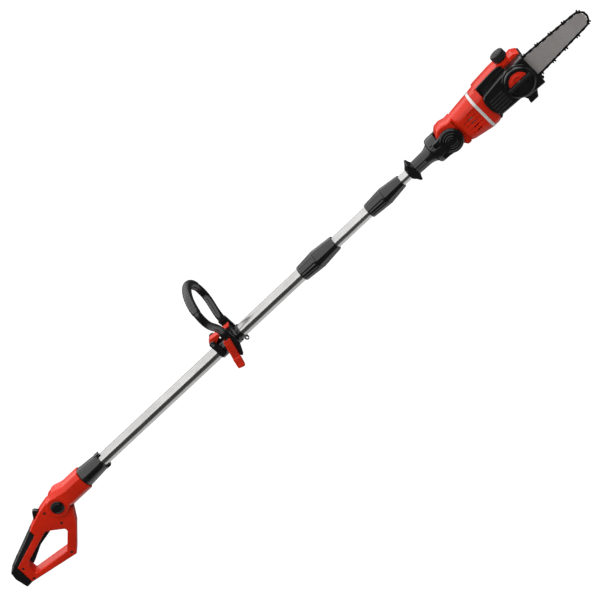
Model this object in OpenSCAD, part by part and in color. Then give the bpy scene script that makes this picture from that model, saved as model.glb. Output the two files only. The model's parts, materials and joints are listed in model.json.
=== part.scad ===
// Telescoping pole saw: three nested tubes, a tilting D handle, a loop handle on a
// clamp, and a tilting motor head with an oiled chain bar. The pole runs along +X,
// towards the saw; +Z is up; the origin is the centre of the carrying-strap eye.

/* [Pole] */
// Outside diameter of the lower tube
lower_od = 34; // [33:0.5:35]
// Outside diameter of the middle tube
middle_od = 30; // [29:0.5:30]
// Outside diameter of the upper tube
upper_od = 26; // [25:0.5:26]
// Wall thickness of the tubes
tube_wall = 1.5; // [1.2:0.1:1.5]
// Place of the first twist lock's rear edge, from the front rim of the handle socket
lock1_x = 734; // [720:1:760]
// Place of the second twist lock's rear edge
lock2_x = 963; // [950:1:975]

/* [Rear handle] */
// Half width of the D-shaped grip
grip_half_w = 19; // [17:0.5:20]
// Half width of the trigger
trigger_half_w = 8; // [6:0.5:9]
// Radius of the push button in the tilt hinge
hinge_button_r = 18; // [15:0.5:19]

/* [Loop handle] */
// Place of the clamp's centre along the pole
clamp_x = 474; // [440:1:478]
// Radius of the loop's round bar
loop_bar_r = 11; // [9:0.5:12]
// Half width of the loop at its widest, to the middle of the bar
loop_half_w = 84; // [70:1:88]
// Height of the loop above the pole's axis, to the middle of the bar
loop_top_z = 175; // [165:1:190]

/* [Saw head] */
// Half width of the motor housing
head_half_w = 38; // [36:0.5:40]
// Half height of the guide bar where it leaves the cover
bar_half_h = 26.5; // [24:0.5:27]
// Place of the guide bar's tip
bar_tip_x = 1647; // [1620:1:1680]
// Pitch of the saw chain's links
chain_pitch = 9.5; // [9:0.1:10]
// Radius of the oil cap
oil_cap_r = 18; // [16:0.5:20]
// Radius of the knob that clamps the bar
cover_knob_r = 38; // [34:0.5:39]

/* [Hidden] */
$fn = 64;

// Gaps: a running fit on the radius, and the space between pieces of different bodies
run = 0.05;
gap = 0.3;
seam = 0.05;
// The strap eye, in the pole's own coordinates
eye_x = clamp_x + 43;
eye_z = -24.5;
eye_r = 3.5;
// Radii of the tubes
lower_r = lower_od / 2;
middle_r = middle_od / 2;
upper_r = upper_od / 2;
lower_bore = lower_r - tube_wall;
middle_bore = middle_r - tube_wall;
upper_bore = upper_r - tube_wall;
// Ends of the tubes
lower_x0 = -112;
lower_x1 = lock1_x + 16;
middle_x0 = 200;
middle_x1 = lock2_x + 16;
upper_x0 = 560;
upper_x1 = 1148;
// Lengths of a twist lock's fixed and turning halves
lock_rear_len = 54;
lock1_nut_len = 62;
lock2_nut_len = 55;
// Rear handle: the tilt hinge and the pieces round it
hub_x = -162;
cheek_in = 20;
cheek_out = 29;
cheek_r = 29;
collar_r = 28.5;
drum_half_w = 12;
drum_r = 26;
lobe_r = 38;
hinge_pin_r = 8;
trigger_pin = [-243, -36];
// Head: the tilt joint and the shafts
pivot_x = 1228;
arm_in = 24.6;
arm_out = 34;
arm_r = 31;
axle_r = 8;
ring_x0 = 1322;
ring_x1 = 1330;
vent_step = 11.3;
cover_front_x = 1481;
bar_y = -28;
bar_t = 2.6;
stud_x = 1438;
gear_x = 1398;
pinion_teeth = 9;
crown_teeth = 45;
crown_r = 31.5;
pinion_r = crown_r * pinion_teeth / crown_teeth;
nose_r = 18;
nose_x = bar_tip_x - nose_r;
cap_at = [1442, -8];

// ---- helpers ----
module on_pole() translate([-eye_x, 0, -eye_z]) children();
module rod_x(x0, x1, r) translate([x0, 0, 0]) rotate([0, 90, 0]) cylinder(r = r, h = x1 - x0);
module pipe_x(x0, x1, ro, ri) {
  difference() {
    rod_x(x0, x1, ro);
    rod_x(x0 - 1, x1 + 1, ri);
  }
}
module rod_y(at, y0, y1, r) {
  translate([at[0], y1, at[1]]) rotate([90, 0, 0]) cylinder(r = r, h = y1 - y0);
}
module pipe_y(at, y0, y1, ro, ri) {
  difference() {
    rod_y(at, y0, y1, ro);
    rod_y(at, y0 - 1, y1 + 1, ri);
  }
}
// A solid of revolution about the pole, from points [x, radius]
module turned_x(pts) rotate([0, 90, 0]) rotate_extrude() polygon([for (p = pts) [p[1], p[0]]]);
// A side outline (x, z) made into a plate from y0 to y1
module plate(y0, y1) rotate([90, 0, 0]) translate([0, 0, -y1]) linear_extrude(y1 - y0) children();
// A plan outline (x, y) made into a block from z0 to z1
module plan(z0, z1) translate([0, 0, z0]) linear_extrude(z1 - z0) children();
// One side of the split at y = 0: side -1 is the near half, 1 the far half
module half(side) {
  intersection() {
    children();
    translate([-1000, side > 0 ? seam : -200 - seam, -200]) cube([3000, 200, 400]);
  }
}
// A sector of a disc in the side view
module pie(r, a0, a1) {
  intersection() {
    circle(r = r);
    polygon(concat([[0, 0]],
      [for (i = [0:6]) let (a = a0 + (a1 - a0) * i / 6) 2 * r * [cos(a), sin(a)]]));
  }
}
// A box with rounded long edges along X: half width w, half height h
function oval(w, h, n) = [for (i = [0:47])
  let (a = i * 7.5, c = cos(a), s = sin(a))
  [w * sign(c) * pow(abs(c), 2 / n), h * sign(s) * pow(abs(s), 2 / n)]];
module oval_x(x0, x1, w, h, n) {
  translate([x0, 0, 0]) rotate([90, 0, 90]) linear_extrude(x1 - x0) polygon(oval(w, h, n));
}
module box(lo, hi) translate(lo) cube(hi - lo);

// ---- lower pole ----
module lower_tube() color("silver") on_pole() pipe_x(lower_x0, lower_x1, lower_r, lower_bore);

module socket_sleeve() {
  color([0.08, 0.08, 0.08]) on_pole() {
    difference() {
      union() {
        turned_x([[-60, 16], [-60, 28], [-52, 28], [0, 24], [9, 23.5], [9, 16]]);
        for (s = [-1, 1]) box([2, -7, s > 0 ? 20.5 : -24.5], [16, 7, s > 0 ? 24.5 : -20.5]);
      }
      rod_x(-61, 10, lower_r + 0.1);
    }
  }
}

module yoke_outline() {
  polygon([[-121, -28.5], [-121, 28.5], [-119, 30.5], [-140, 37], [-148, 37],
           [-164, 28.9], [-164, -28.9]]);
}
module yoke() {
  difference() {
    union() {
      rod_x(-121, -60 - seam, collar_r);
      intersection() {
        plate(-cheek_out, cheek_out) {
          yoke_outline();
          translate([hub_x, 0]) circle(r = cheek_r);
        }
        translate([-220, 0, 0]) oval_x(0, 160, cheek_out + 0.01, 46, 4);
      }
    }
    rod_x(lower_x0, -59, lower_r + 0.1);
    plate(-cheek_in, cheek_in) translate([hub_x, 0]) {
      circle(r = 30);
      pie(46, -130, 24);
      pie(54, -130, -26);
      pie(90, 103, 245);
    }
    rod_y([hub_x, 0], -40, 40, hinge_pin_r + seam);
    rod_y([hub_x, 0], -40, -cheek_in - 4, hinge_button_r + gap);
    rod_y([hub_x, 0], cheek_in + 4, 40, hinge_button_r + gap);
    rod_x(-130, lower_x0 + 1, 10);
  }
}
module yoke_left() color([0.85, 0.16, 0.08]) on_pole() half(-1) yoke();
module yoke_right() color([0.85, 0.16, 0.08]) on_pole() half(1) yoke();

module hinge_pin() {
  color([0.6, 0.6, 0.62]) on_pole() difference() {
    union() {
      rod_y([hub_x, 0], -cheek_in - 3.9, cheek_in + 4.2, hinge_pin_r);
      rod_y([hub_x, 0], cheek_in + 4.2, cheek_out + 2, hinge_button_r - 0.5);
    }
    rod_y([hub_x, 0], -40, 12, 4 + run);
  }
}

module strap_ring() {
  color([0.08, 0.08, 0.08]) on_pole() difference() {
    union() {
      rod_x(eye_x - 6, eye_x + 6, lower_r + 3);
      rod_y([eye_x, eye_z], -2.5, 2.5, 6);
      box([eye_x - 6, -2.5, eye_z], [eye_x + 6, 2.5, -lower_r]);
    }
    rod_x(eye_x - 7, eye_x + 7, lower_r + seam);
    rod_y([eye_x, eye_z], -9, 9, eye_r);
  }
}

// The fixed half of a twist lock: a ribbed sleeve and the threaded stub in front of it
module lock_body(x, tube_r, inner_r, r0, r1) {
  color([0.06, 0.06, 0.06]) on_pole() difference() {
    union() {
      turned_x([[x, tube_r], [x, r0], [x + lock_rear_len - 0.3, r1], [x + lock_rear_len - 0.3, tube_r]]);
      rod_x(x + 10, x + lock_rear_len + 18, inner_r + 2.2);
      for (i = [0:11]) rotate([i * 30, 0, 0]) {
        box([x + 5, -1.5, r0 - 2], [x + lock_rear_len - 8, 1.5, (r0 + r1) / 2 + 0.3]);
      }
    }
    rod_x(x - 1, x + 16 + seam, tube_r + seam);
    rod_x(x + 15, x + lock_rear_len + 20, inner_r + gap);
  }
}
module lock_nut(x, len, thread_r, inner_r, r0, r1) {
  color([0.07, 0.07, 0.07]) on_pole() difference() {
    turned_x([[x, 10], [x, r0 - 1], [x + 2, r0], [x + len - 2, r1 + 0.2], [x + len, r1 - 1], [x + len, 10]]);
    rod_x(x - 1, x + 22, thread_r + gap);
    turned_x([[x + 21, 0], [x + 21, inner_r + 5.2], [x + len - 8, inner_r + 2.6], [x + len - 8, 0]]);
    rod_x(x + 20, x + len + 1, inner_r + gap);
  }
}
// A split cone that the nut squeezes onto the sliding tube
module collet(x, inner_r) {
  color([0.75, 0.73, 0.68]) on_pole() difference() {
    turned_x([[x, inner_r], [x, inner_r + 4.4], [x + 20, inner_r + 2.6], [x + 20, inner_r]]);
    rod_x(x - 1, x + 22, inner_r + run);
    for (i = [0:3]) rotate([i * 90, 0, 0]) box([x + 5, -0.8, 0], [x + 23, 0.8, inner_r + 9]);
  }
}
lock1_front = lock1_x + lock_rear_len;
lock2_front = lock2_x + lock_rear_len;
module lower_lock_body() lock_body(lock1_x, lower_r, middle_r, 20.4, 24.6);
module lower_lock_collet() collet(lock1_front + 23, middle_r);
module lower_lock_nut() lock_nut(lock1_front, lock1_nut_len, middle_r + 2.2, middle_r, 25.6, 19.5);
module upper_lock_body() lock_body(lock2_x, middle_r, upper_r, 18.8, 22.7);
module upper_lock_collet() collet(lock2_front + 23, upper_r);
module upper_lock_nut() lock_nut(lock2_front, lock2_nut_len, upper_r + 2.2, upper_r, 23.6, 16.8);

// The power cable is wound into a coil inside the tubes, so that they can slide
coil_r = 6.4;
wire_r = 1.6;
coil_turns = 26;
coil_x0 = -96;
coil_x1 = 1010;
module inner_cable() {
  sides = 6;
  steps = coil_turns * 8;
  ring_at = function (i)
    let (a = i * 45, x = coil_x0 + (coil_x1 - coil_x0) * i / steps)
    [for (j = [0:sides - 1])
      let (b = j * 360 / sides, rr = coil_r + wire_r * cos(b))
      [x + wire_r * sin(b), rr * cos(a), rr * sin(a)]];
  color([0.1, 0.1, 0.1]) on_pole() polyhedron(
    points = [for (i = [0:steps]) each ring_at(i)],
    faces = concat(
      [[for (j = [sides - 1:-1:0]) j]],
      [[for (j = [0:sides - 1]) steps * sides + j]],
      [for (i = [0:steps - 1]) for (j = [0:sides - 1])
        let (a = i * sides + j, b = i * sides + (j + 1) % sides)
        each [[a, b, b + sides], [a, b + sides, a + sides]]]));
}

// ---- middle and upper pole ----
module middle_tube() color("gainsboro") on_pole() pipe_x(middle_x0, middle_x1, middle_r, middle_bore);
module upper_tube() color("gainsboro") on_pole() pipe_x(upper_x0, upper_x1, upper_r, upper_bore);
// A guide plug on the hidden end of a sliding tube
module guide(x, outer, bore) {
  color([0.8, 0.78, 0.7]) on_pole() difference() {
    union() {
      rod_x(x - 14, x - seam, outer - run);
      rod_x(x - 2, x + 14, bore - 0.1);
    }
    rod_x(x - 15, x + 15, bore - 2);
  }
}
module middle_guide() guide(middle_x0, lower_bore, middle_bore);
module upper_guide() guide(upper_x0, middle_bore, upper_bore);

// The neck carries two splash fins and forks round the head's tongue
module neck() {
  difference() {
    union() {
      turned_x([[1096, 0], [1096, 17], [1120, 18.6], [1154, 18.6], [1172, 24],
                [1178, 34], [1184, 35], [1203, 35], [1203, 0]]);
      intersection() {
        turned_x([[1097, 0], [1097, 17], [1110, 32], [1112, 32], [1119, 18], [1119, 0]]);
        box([1090, -19, -40], [1125, 19, 40]);
      }
      intersection() {
        plate(-arm_out, arm_out) {
          polygon([[1190, -24], [1190, 24], [pivot_x - 12, 27], [pivot_x, arm_r],
                   [pivot_x, -arm_r], [pivot_x - 12, -27]]);
          translate([pivot_x, 0]) circle(r = arm_r);
        }
        translate([1180, 0, 0]) oval_x(0, 90, 40, 42, 3);
      }
    }
    box([1202, -arm_in, -60], [1300, arm_in, 60]);
    rod_x(1090, upper_x1 + 1, upper_r + 0.1);
    rod_x(1140, 1210, 7);
    rod_y([pivot_x, 0], -60, 60, axle_r + seam);
    rod_y([pivot_x, 0], -60, -arm_in - 4.6, 15 + gap);
  }
}
module neck_left() {
  color([0.06, 0.06, 0.06]) on_pole() {
    half(-1) neck();
    for (r = [18.5, 25.5]) pipe_y([pivot_x, 0], -arm_out - 2.5, -arm_out, r + 3, r - 1);
  }
}
module neck_right() {
  color([0.06, 0.06, 0.06]) on_pole() {
    half(1) neck();
    pipe_y([pivot_x, 0], arm_out, arm_out + 3, 26, 17);
  }
}
module tilt_axle() {
  color([0.65, 0.65, 0.66]) on_pole() difference() {
    union() {
      rod_y([pivot_x, 0], -arm_in - 4.4, arm_out + seam, axle_r);
      rod_y([pivot_x, 0], arm_out + seam, arm_out + 4, 14);
    }
    rod_y([pivot_x, 0], -60, 10, 4 + run);
  }
}
module tilt_button() {
  color([0.1, 0.1, 0.1]) on_pole() {
    rod_y([pivot_x, 0], -arm_out - 4, -arm_out + 0.6, 15);
    rod_y([pivot_x, 0], -arm_out + 0.5, -8, 4);
  }
}

// ---- rear handle ----
function handle_pts() = [
  [-180, 27], [-214, 20], [-250, 8], [-272, 0], [-273, -18], [-381, -53],
  [-387, -111], [-241, -137], [-175, -77], [-141, -33], [hub_x, -20]
];
function finger_hole() = [
  [-231, -41], [-204, -63], [-205, -72], [-252, -113], [-362, -100],
  [-359, -85], [-357, -73], [-345, -61], [-246, -31]
];
// The D handle's side outline with its finger opening
module handle_outline() {
  difference() {
    union() {
      polygon(handle_pts());
      translate([hub_x, 0]) circle(r = 27);
    }
    polygon(finger_hole());
  }
}
// The hollow that takes the trigger, the switch and the release button's stem
module handle_hollow() {
  polygon([[-233, -44], [-228, -28], [-234, -2], [-262, -8], [-268, -24],
           [-350, -47], [-360, -70], [-246, -44]]);
  polygon([[-243, -20], [-249, 20], [-210, 30], [-217, -14]]);
}
module handle_shell() {
  difference() {
    plate(-grip_half_w, grip_half_w) handle_outline();
    plate(-trigger_half_w - gap, trigger_half_w + gap) handle_hollow();
    plate(-drum_half_w - 0.1, drum_half_w + 0.1) translate([hub_x, 0]) {
      circle(r = drum_r + 1.2);
      pie(lobe_r + 2, -122, -14);
    }
    rod_y([hub_x, 0], -40, 40, hinge_pin_r + gap);
    rod_y(trigger_pin, -12, 12, 3 + run);
    for (p = handle_screw_at) {
      rod_y(p, -grip_half_w - 1, -grip_half_w + 3, 3.6);
      rod_y(p, -grip_half_w + 2, grip_half_w - 5, 1.8);
    }
  }
}
handle_screw_at = [[-196, -44], [-372, -66], [-376, -106], [-246, -124], [-204, 8]];
module handle_left() color([0.78, 0.13, 0.07]) on_pole() half(-1) handle_shell();
module handle_right() color([0.78, 0.13, 0.07]) on_pole() half(1) handle_shell();
module soft_grip() {
  color([0.1, 0.1, 0.11]) on_pole() {
    plate(-grip_half_w, grip_half_w) polygon([[-272.3, 0], [-379, -40], [-380.7, -52.6], [-273.3, -17.8]]);
  }
}
module end_cap() {
  color([0.07, 0.07, 0.07]) on_pole() difference() {
    plate(-grip_half_w, grip_half_w) {
      polygon([[-379.5, -40], [-405, -51], [-412, -74], [-409, -113], [-387.4, -111.2], [-381.4, -53]]);
    }
    box([-414, -14, -104], [-391, 14, -80]);
  }
}
// The plug that an extension cord is pushed over
module power_inlet() {
  color([0.12, 0.12, 0.12]) on_pole() {
    difference() {
      box([-396, -14, -104], [-391, 14, -80]);
      for (s = [-1, 1]) rod_y([-393, -92], s * 9 - 1, s * 9 + 1, 1.5);
    }
    for (s = [-1, 1]) translate([-407, s * 9, -92]) rotate([0, 90, 0]) cylinder(r = 2, h = 12);
  }
}
// The drum that the handle tilts on, with its toothed lobe between the yoke's cheeks
module hinge_drum() {
  color([0.3, 0.29, 0.28]) on_pole() difference() {
    plate(-drum_half_w, drum_half_w) translate([hub_x, 0]) {
      difference() {
        union() {
          circle(r = drum_r);
          pie(lobe_r, -106, -28);
        }
        for (i = [0:4]) rotate(-100 + i * 16) translate([lobe_r + 0.5, 0]) circle(r = 2);
      }
    }
    rod_y([hub_x, 0], -20, 20, hinge_pin_r + run);
  }
}
module switch_box() {
  color([0.9, 0.9, 0.86]) on_pole() {
    box([-262, -6, -22], [-246, 6, -11]);
    for (s = [-1, 1]) box([-256, s * 3 - 0.6, -11], [-252, s * 3 + 0.6, -9]);
  }
}
module trigger_spring() {
  color("silver") on_pole() for (i = [0:2]) {
    translate([trigger_pin[0], 5.1 + i * 1.1, trigger_pin[1]]) rotate([90, 0, 0])
      rotate_extrude() translate([4.3, 0]) circle(r = 0.5, $fn = 16);
  }
}
module handle_screws() {
  color([0.2, 0.2, 0.2]) on_pole() for (p = handle_screw_at) {
    rod_y(p, -grip_half_w + 0.6, -grip_half_w + 3, 3.4);
    rod_y(p, -grip_half_w + 2.9, grip_half_w - 6, 1.6);
  }
}
module trigger() {
  color([0.05, 0.05, 0.05]) on_pole() difference() {
    union() {
      plate(-trigger_half_w, trigger_half_w) {
        polygon([[-243, -43.5], [-289, -53], [-332, -73], [-344, -78],
                 [-349.5, -74], [-346, -63], [-252, -33]]);
        translate(trigger_pin) circle(r = 7.5);
      }
      rod_y(trigger_pin, -11.5, 11.5, 3);
    }
    rod_y(trigger_pin, 4.4, 8.1, 7.6);
  }
  color([0.05, 0.05, 0.05]) on_pole() rod_y(trigger_pin, 4, 8.2, 3);
}
module lock_off_button() {
  color([0.05, 0.05, 0.05]) on_pole() plate(-6, 6) {
    polygon([[-246, 10.6], [-229, 31], [-223, 30], [-216, 20.6],
             [-222, 16], [-224, 2], [-232, 0], [-237, 12]]);
  }
}
module pivot_button() {
  color([0.05, 0.05, 0.05]) on_pole() {
    rod_y([hub_x, 0], -cheek_out - 4, -cheek_out + 0.4, hinge_button_r);
    rod_y([hub_x, 0], -cheek_out + 0.3, 6, 4);
  }
}

// ---- loop handle and its clamp ----
saddle_x0 = clamp_x + 12;
saddle_x1 = clamp_x + 32;
bolt_at = [clamp_x + 17, 22];
lever_pin_at = [clamp_x - 22, 33];
clamp_r = lower_r + 4.5;
lug_in = clamp_r + 0.4;
lug_out = lug_in + 5;
module clamp_shell() pipe_x(clamp_x - 33, clamp_x + 35, clamp_r, lower_r + run);
module clamp_upper() {
  color([0.07, 0.07, 0.07]) on_pole() difference() {
    union() {
      intersection() {
        clamp_shell();
        box([clamp_x - 40, -40, gap], [clamp_x + 40, 40, 40]);
      }
      difference() {
        box([saddle_x0, -31, gap + 8], [saddle_x1, 31, 31]);
        rod_x(clamp_x, clamp_x + 40, lower_r + 1);
      }
    }
    rod_y(bolt_at, -50, 50, 3 + run);
  }
}
module clamp_lower() {
  color([0.07, 0.07, 0.07]) on_pole() {
    difference() {
      union() {
        intersection() {
          clamp_shell();
          box([clamp_x - 40, -40, -40], [clamp_x + 40, 40, -gap]);
        }
        for (s = [0, 1]) mirror([0, s, 0]) {
          box([lever_pin_at[0] - 8, lug_in, -9], [lever_pin_at[0] + 8, lug_out, 33]);
          rod_y(lever_pin_at, lug_in, lug_out, 8);
          box([lever_pin_at[0] - 8, 18.5, -9], [lever_pin_at[0] + 8, lug_in + 1, -4]);
        }
      }
      rod_x(clamp_x - 41, clamp_x + 41, lower_r + run);
      rod_y(lever_pin_at, -50, 50, 2.5 + seam);
    }
  }
}
module clamp_pin() {
  color("silver") on_pole() {
    rod_y(lever_pin_at, -lug_out - 1, lug_out + 1, 2.5);
    for (s = [0, 1]) mirror([0, s, 0]) rod_y(lever_pin_at, lug_out + 0.2, lug_out + 1.8, 4.5);
  }
}
// The lever's cam presses on the upper jaw; its long end lies over the clamp
module clamp_lever() {
  color([0.9, 0.22, 0.1]) on_pole() difference() {
    union() {
      rod_y(lever_pin_at, -11, 11, 9.8);
      plate(-11, 11) polygon([
        [clamp_x - 32, 31], [clamp_x - 31, 38], [clamp_x - 22, 43.5], [clamp_x - 8, 41.5],
        [clamp_x + 12, 38.5], [clamp_x + 38, 37.5], [clamp_x + 38, 33], [clamp_x + 8, 33],
        [clamp_x - 9, 27], [clamp_x - 20, 26], [clamp_x - 27, 27]]);
    }
    rod_y(lever_pin_at, -20, 20, 2.5 + run);
  }
}
arm_y = 37;
loop_z0 = 40;
loop_rake = 4;
function bezier(p, t) = let (u = 1 - t)
  u * u * u * p[0] + 3 * u * u * t * p[1] + 3 * u * t * t * p[2] + t * t * t * p[3];
// The near half of the loop's middle line (y, z): up the leg, then over the corner
leg_curve = [[-arm_y, loop_z0], [-arm_y - 2, 75], [-loop_half_w, 82], [-loop_half_w, 118]];
top_curve = [[-loop_half_w, 118], [-loop_half_w, 158], [-40, loop_top_z], [0, loop_top_z]];
curve_steps = 10;
function near_half() = concat(
  [for (i = [0:curve_steps - 1]) bezier(leg_curve, i / curve_steps)],
  [for (i = [0:curve_steps - 1]) bezier(top_curve, i / curve_steps)]);
function loop_line() = let (n = near_half())
  concat(n, [[0, loop_top_z]], [for (i = [len(n) - 1:-1:0]) [-n[i][0], n[i][1]]]);
// A round bar of radius r swept along part of the loop's line
module loop_bar(i0, i1, r) {
  sides = 16;
  line = loop_line();
  last = len(line) - 1;
  ring_at = function (i) let (
      d = line[min(i + 1, last)] - line[max(i - 1, 0)],
      n = [-d[1], d[0]] / norm(d)
    ) [for (j = [0:sides - 1]) let (b = j * 360 / sides)
      [r * sin(b), line[i][0] + r * cos(b) * n[0], line[i][1] + r * cos(b) * n[1]]];
  tops = (i1 - i0) * sides;
  polyhedron(
    points = [for (i = [i0:i1]) each ring_at(i)],
    faces = concat(
      [[for (j = [0:sides - 1]) j]],
      [[for (j = [sides - 1:-1:0]) tops + j]],
      [for (i = [0:i1 - i0 - 1]) for (j = [0:sides - 1])
        let (a = i * sides + j, b = i * sides + (j + 1) % sides)
        each [[a, b + sides, b], [a, a + sides, b + sides]]]));
}
module raked() translate([clamp_x + 23, 0, 25]) rotate([0, loop_rake, 0]) translate([0, 0, -25]) children();
module loop_frame() {
  color([0.08, 0.08, 0.08]) on_pole() difference() {
    union() {
      raked() {
        loop_bar(0, 40, loop_bar_r - 1);
      }
      for (s = [-1, 1]) plate(s * arm_y - 5, s * arm_y + 5) {
        polygon([[clamp_x + 12, 46], [clamp_x + 36, 46], [clamp_x + 35, 10], [clamp_x + 31, -10],
                 [clamp_x + 18, -34], [clamp_x + 13, -36], [clamp_x + 10, -30], [clamp_x + 11, 10]]);
      }
    }
    rod_y(bolt_at, -60, 60, 3 + run);
  }
}
module loop_grip() {
  color([0.15, 0.15, 0.16]) on_pole() raked() difference() {
    loop_bar(12, 28, loop_bar_r + 1);
    loop_bar(10, 30, loop_bar_r - 0.9);
  }
}
// The bolt through both arms, with the cross pin that the lever turns on
lever_y = -arm_y - 10;
lever_lean = 18.4;
module at_lever() translate([bolt_at[0], lever_y, bolt_at[1]]) rotate([0, lever_lean, 0]) children();
module loop_bolt() {
  color("silver") on_pole() {
    rod_y(bolt_at, lever_y - 2.2, arm_y + 10, 3);
    rod_y(bolt_at, arm_y + 5.2, arm_y + 9.4, 6);
    at_lever() rod_x(-9.2, 9.2, 2);
  }
}
// The near lever draws the fork arms together; it swings out from the loop's side
module loop_lever() {
  color([0.75, 0.08, 0.06]) on_pole() at_lever() difference() {
    union() {
      rod_x(-9.5, 9.5, 4.6);
      rotate([90, 0, 0]) translate([0, 0, -4.6]) linear_extrude(9.2)
        polygon([[-9.5, 1], [9.5, 1], [9.5, -44], [11, -54],
                 [10.5, -80], [-9.5, -80], [-10.5, -54], [-9.5, -44]]);
      box([-10, -6.5, -79], [10, -4.5, -48]);
      for (i = [-1:1]) box([i * 5.5 - 1.3, -6, -42], [i * 5.5 + 1.3, -4.5, -4]);
    }
    rod_x(-12, 12, 2 + run);
    box([-3.4, -3.9, -3.9], [3.4, 6, 6]);
  }
}

// ---- saw head ----
module motor_outline() {
  polygon([[1203.5, 16], [1207, 29.5], [1217, 39], [1232, 41.5], [1248, 37], [ring_x0, 45.5],
           [ring_x0, -53], [1264, -41], [1250, -41], [1240, -16], [1226, -12], [1208, 4]]);
}
module motor_plan() {
  polygon([[1200, -arm_in + gap], [1260, -arm_in + gap], [1272, -head_half_w + 1], [ring_x0, -head_half_w],
           [ring_x0, head_half_w], [1272, head_half_w - 1], [1260, arm_in - gap], [1200, arm_in - gap]]);
}
module motor_housing() {
  difference() {
    intersection() {
      union() {
        plate(-60, 60) motor_outline();
        rod_y([pivot_x, 0], -60, 60, 24);
      }
      plan(-80, 80) motor_plan();
      translate([1190, 0, 0]) oval_x(0, 140, head_half_w + 1, 62, 2.6);
    }
    rod_x(1273, ring_x0 + 1, 34);
    rod_x(1266, 1274, 11.1);
    rod_x(1240, 1267, 5);
    rod_y([pivot_x, 0], -60, 60, axle_r + run);
    for (s = [0, 1], i = [0:3]) mirror([0, s, 0]) {
      box([1290, 22, 7 - i * vent_step], [1304, 45, 11 - i * vent_step]);
    }
  }
}
module motor_left() color([0.82, 0.14, 0.07]) on_pole() half(-1) motor_housing();
module motor_right() color([0.82, 0.14, 0.07]) on_pole() half(1) motor_housing();
module trim_ring() {
  color([0.8, 0.8, 0.8]) on_pole() difference() {
    intersection() {
      oval_x(ring_x0 + seam, ring_x1 - seam, head_half_w + 1, 62, 2.6);
      box([ring_x0 - 5, -head_half_w - 0.4, -53.8], [ring_x1 + 5, head_half_w + 0.4, 46.5]);
    }
    rod_x(ring_x0 - 1, ring_x1 + 1, 34);
  }
}
module motor_stator() {
  color([0.45, 0.43, 0.4]) on_pole() difference() {
    rod_x(1276, 1318, 33.5);
    rod_x(1275, 1319, 20);
    for (i = [0:5]) rotate([i * 60, 0, 0]) box([1275, -3, 19], [1319, 3, 27]);
  }
}
module motor_rotor() {
  color([0.72, 0.45, 0.2]) on_pole() {
    rod_x(1284, 1312, 19.4);
    rod_x(1278, 1284.1, 11);
    rod_x(1267, gear_x - crown_r + 4, 4);
    rod_x(1321, 1324, 14);
    for (i = [0:8]) rotate([i * 40, 0, 0]) box([1321, -0.8, 12], [1328, 0.8, 31]);
    difference() {
      rod_x(gear_x - crown_r - 4, gear_x - crown_r + 4, pinion_r + 1);
      for (i = [0:pinion_teeth - 1]) rotate([i * 360 / pinion_teeth - 70, 0, 0]) {
        translate([gear_x - crown_r - 5, 0, 0]) rotate([90, 0, 90]) linear_extrude(10)
          polygon([[-0.95, -pinion_r + 1.2], [0.95, -pinion_r + 1.2],
                   [2.1, -pinion_r - 2], [-2.1, -pinion_r - 2]]);
      }
    }
  }
}
module shaft_bearings() {
  color("silver") on_pole() {
    for (x = [1267, 1340]) pipe_x(x, x + 6, 11, 4 + run);
    for (y = [8, -19.5]) pipe_y([gear_x, 0], y, y + 6, 13, 5 + run);
  }
}

module gear_outline() {
  polygon([[ring_x1, -52], [1344, -53], [1352, -50], [1358, -44.5], [1418, -47], [1424, -60],
           [1421, -73], [1445, -73], [1453, -60], [1460, -52], [cover_front_x, -50],
           [cover_front_x, 24], [cover_front_x + 4, 32], [cover_front_x - 6, 38.5], [ring_x1, 38.5]]);
}
// The housing's near wall stands up beside the oil tank
module tank_wall() {
  polygon([[1352, 38], [1354, 50.5], [1404, 54], [1420, 54], [1430, 50], [1431, 38]]);
}
module gear_housing() {
  color([0.06, 0.06, 0.06]) on_pole() difference() {
    union() {
      intersection() {
        plate(-22.5, head_half_w) gear_outline();
        union() {
          translate([ring_x1, 0, 0]) oval_x(0, 160, head_half_w, 66, 3);
          box([1415, -22.5, -80], [1460, 20, -40]);
        }
      }
      plate(-22.5, -18.3) tank_wall();
    }
    rod_x(ring_x1 - 1, 1339.9, 33);
    rod_x(1339, 1346.2, 11.1);
    rod_x(1346, gear_x, 9.5);
    rod_y([gear_x, 0], -13.4, 7.9, crown_r + 5);
    rod_y([gear_x, 0], -20, 14.2, 13.1);
    rod_y([gear_x, 0], -23, -13, 7);
    rod_y([stud_x, 0], -30, -6, 4 + seam);
  }
}
module oil_tank() {
  color([0.86, 0.17, 0.09]) on_pole() difference() {
    union() {
      intersection() {
        plate(-18, 26) polygon([[ring_x1, 38.7], [ring_x1, 46.5], [1354, 50.5], [1404, 55], [1423, 55],
                                [1455, 46.5], [1468, 49], [1480, 41], [1482, 38.7]]);
        translate([ring_x1, 4, 0]) oval_x(0, 160, 31, 66, 2.8);
      }
      translate([cap_at[0], cap_at[1], 40]) cylinder(r = 14, h = 15);
    }
    box([ring_x1 + 8, -14, 41], [1430, 22, 44.5]);
    translate([cap_at[0], cap_at[1], 42]) cylinder(r = 9, h = 20);
  }
}
module oil_cap() {
  color([0.08, 0.08, 0.08]) on_pole() translate([cap_at[0], cap_at[1], 0]) {
    translate([0, 0, 55 + gap]) cylinder(r1 = oil_cap_r - 3, r2 = oil_cap_r, h = 4);
    translate([0, 0, 59.2]) cylinder(r = oil_cap_r, h = 14.4);
    translate([0, 0, 73.5]) cylinder(r1 = oil_cap_r, r2 = oil_cap_r - 2, h = 3);
    translate([0, 0, 46]) cylinder(r = 9 - run, h = 10);
    for (i = [0:11]) rotate([0, 0, i * 30]) translate([oil_cap_r - 0.2, -1.2, 60]) cube([1, 2.4, 12.5]);
  }
}
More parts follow.
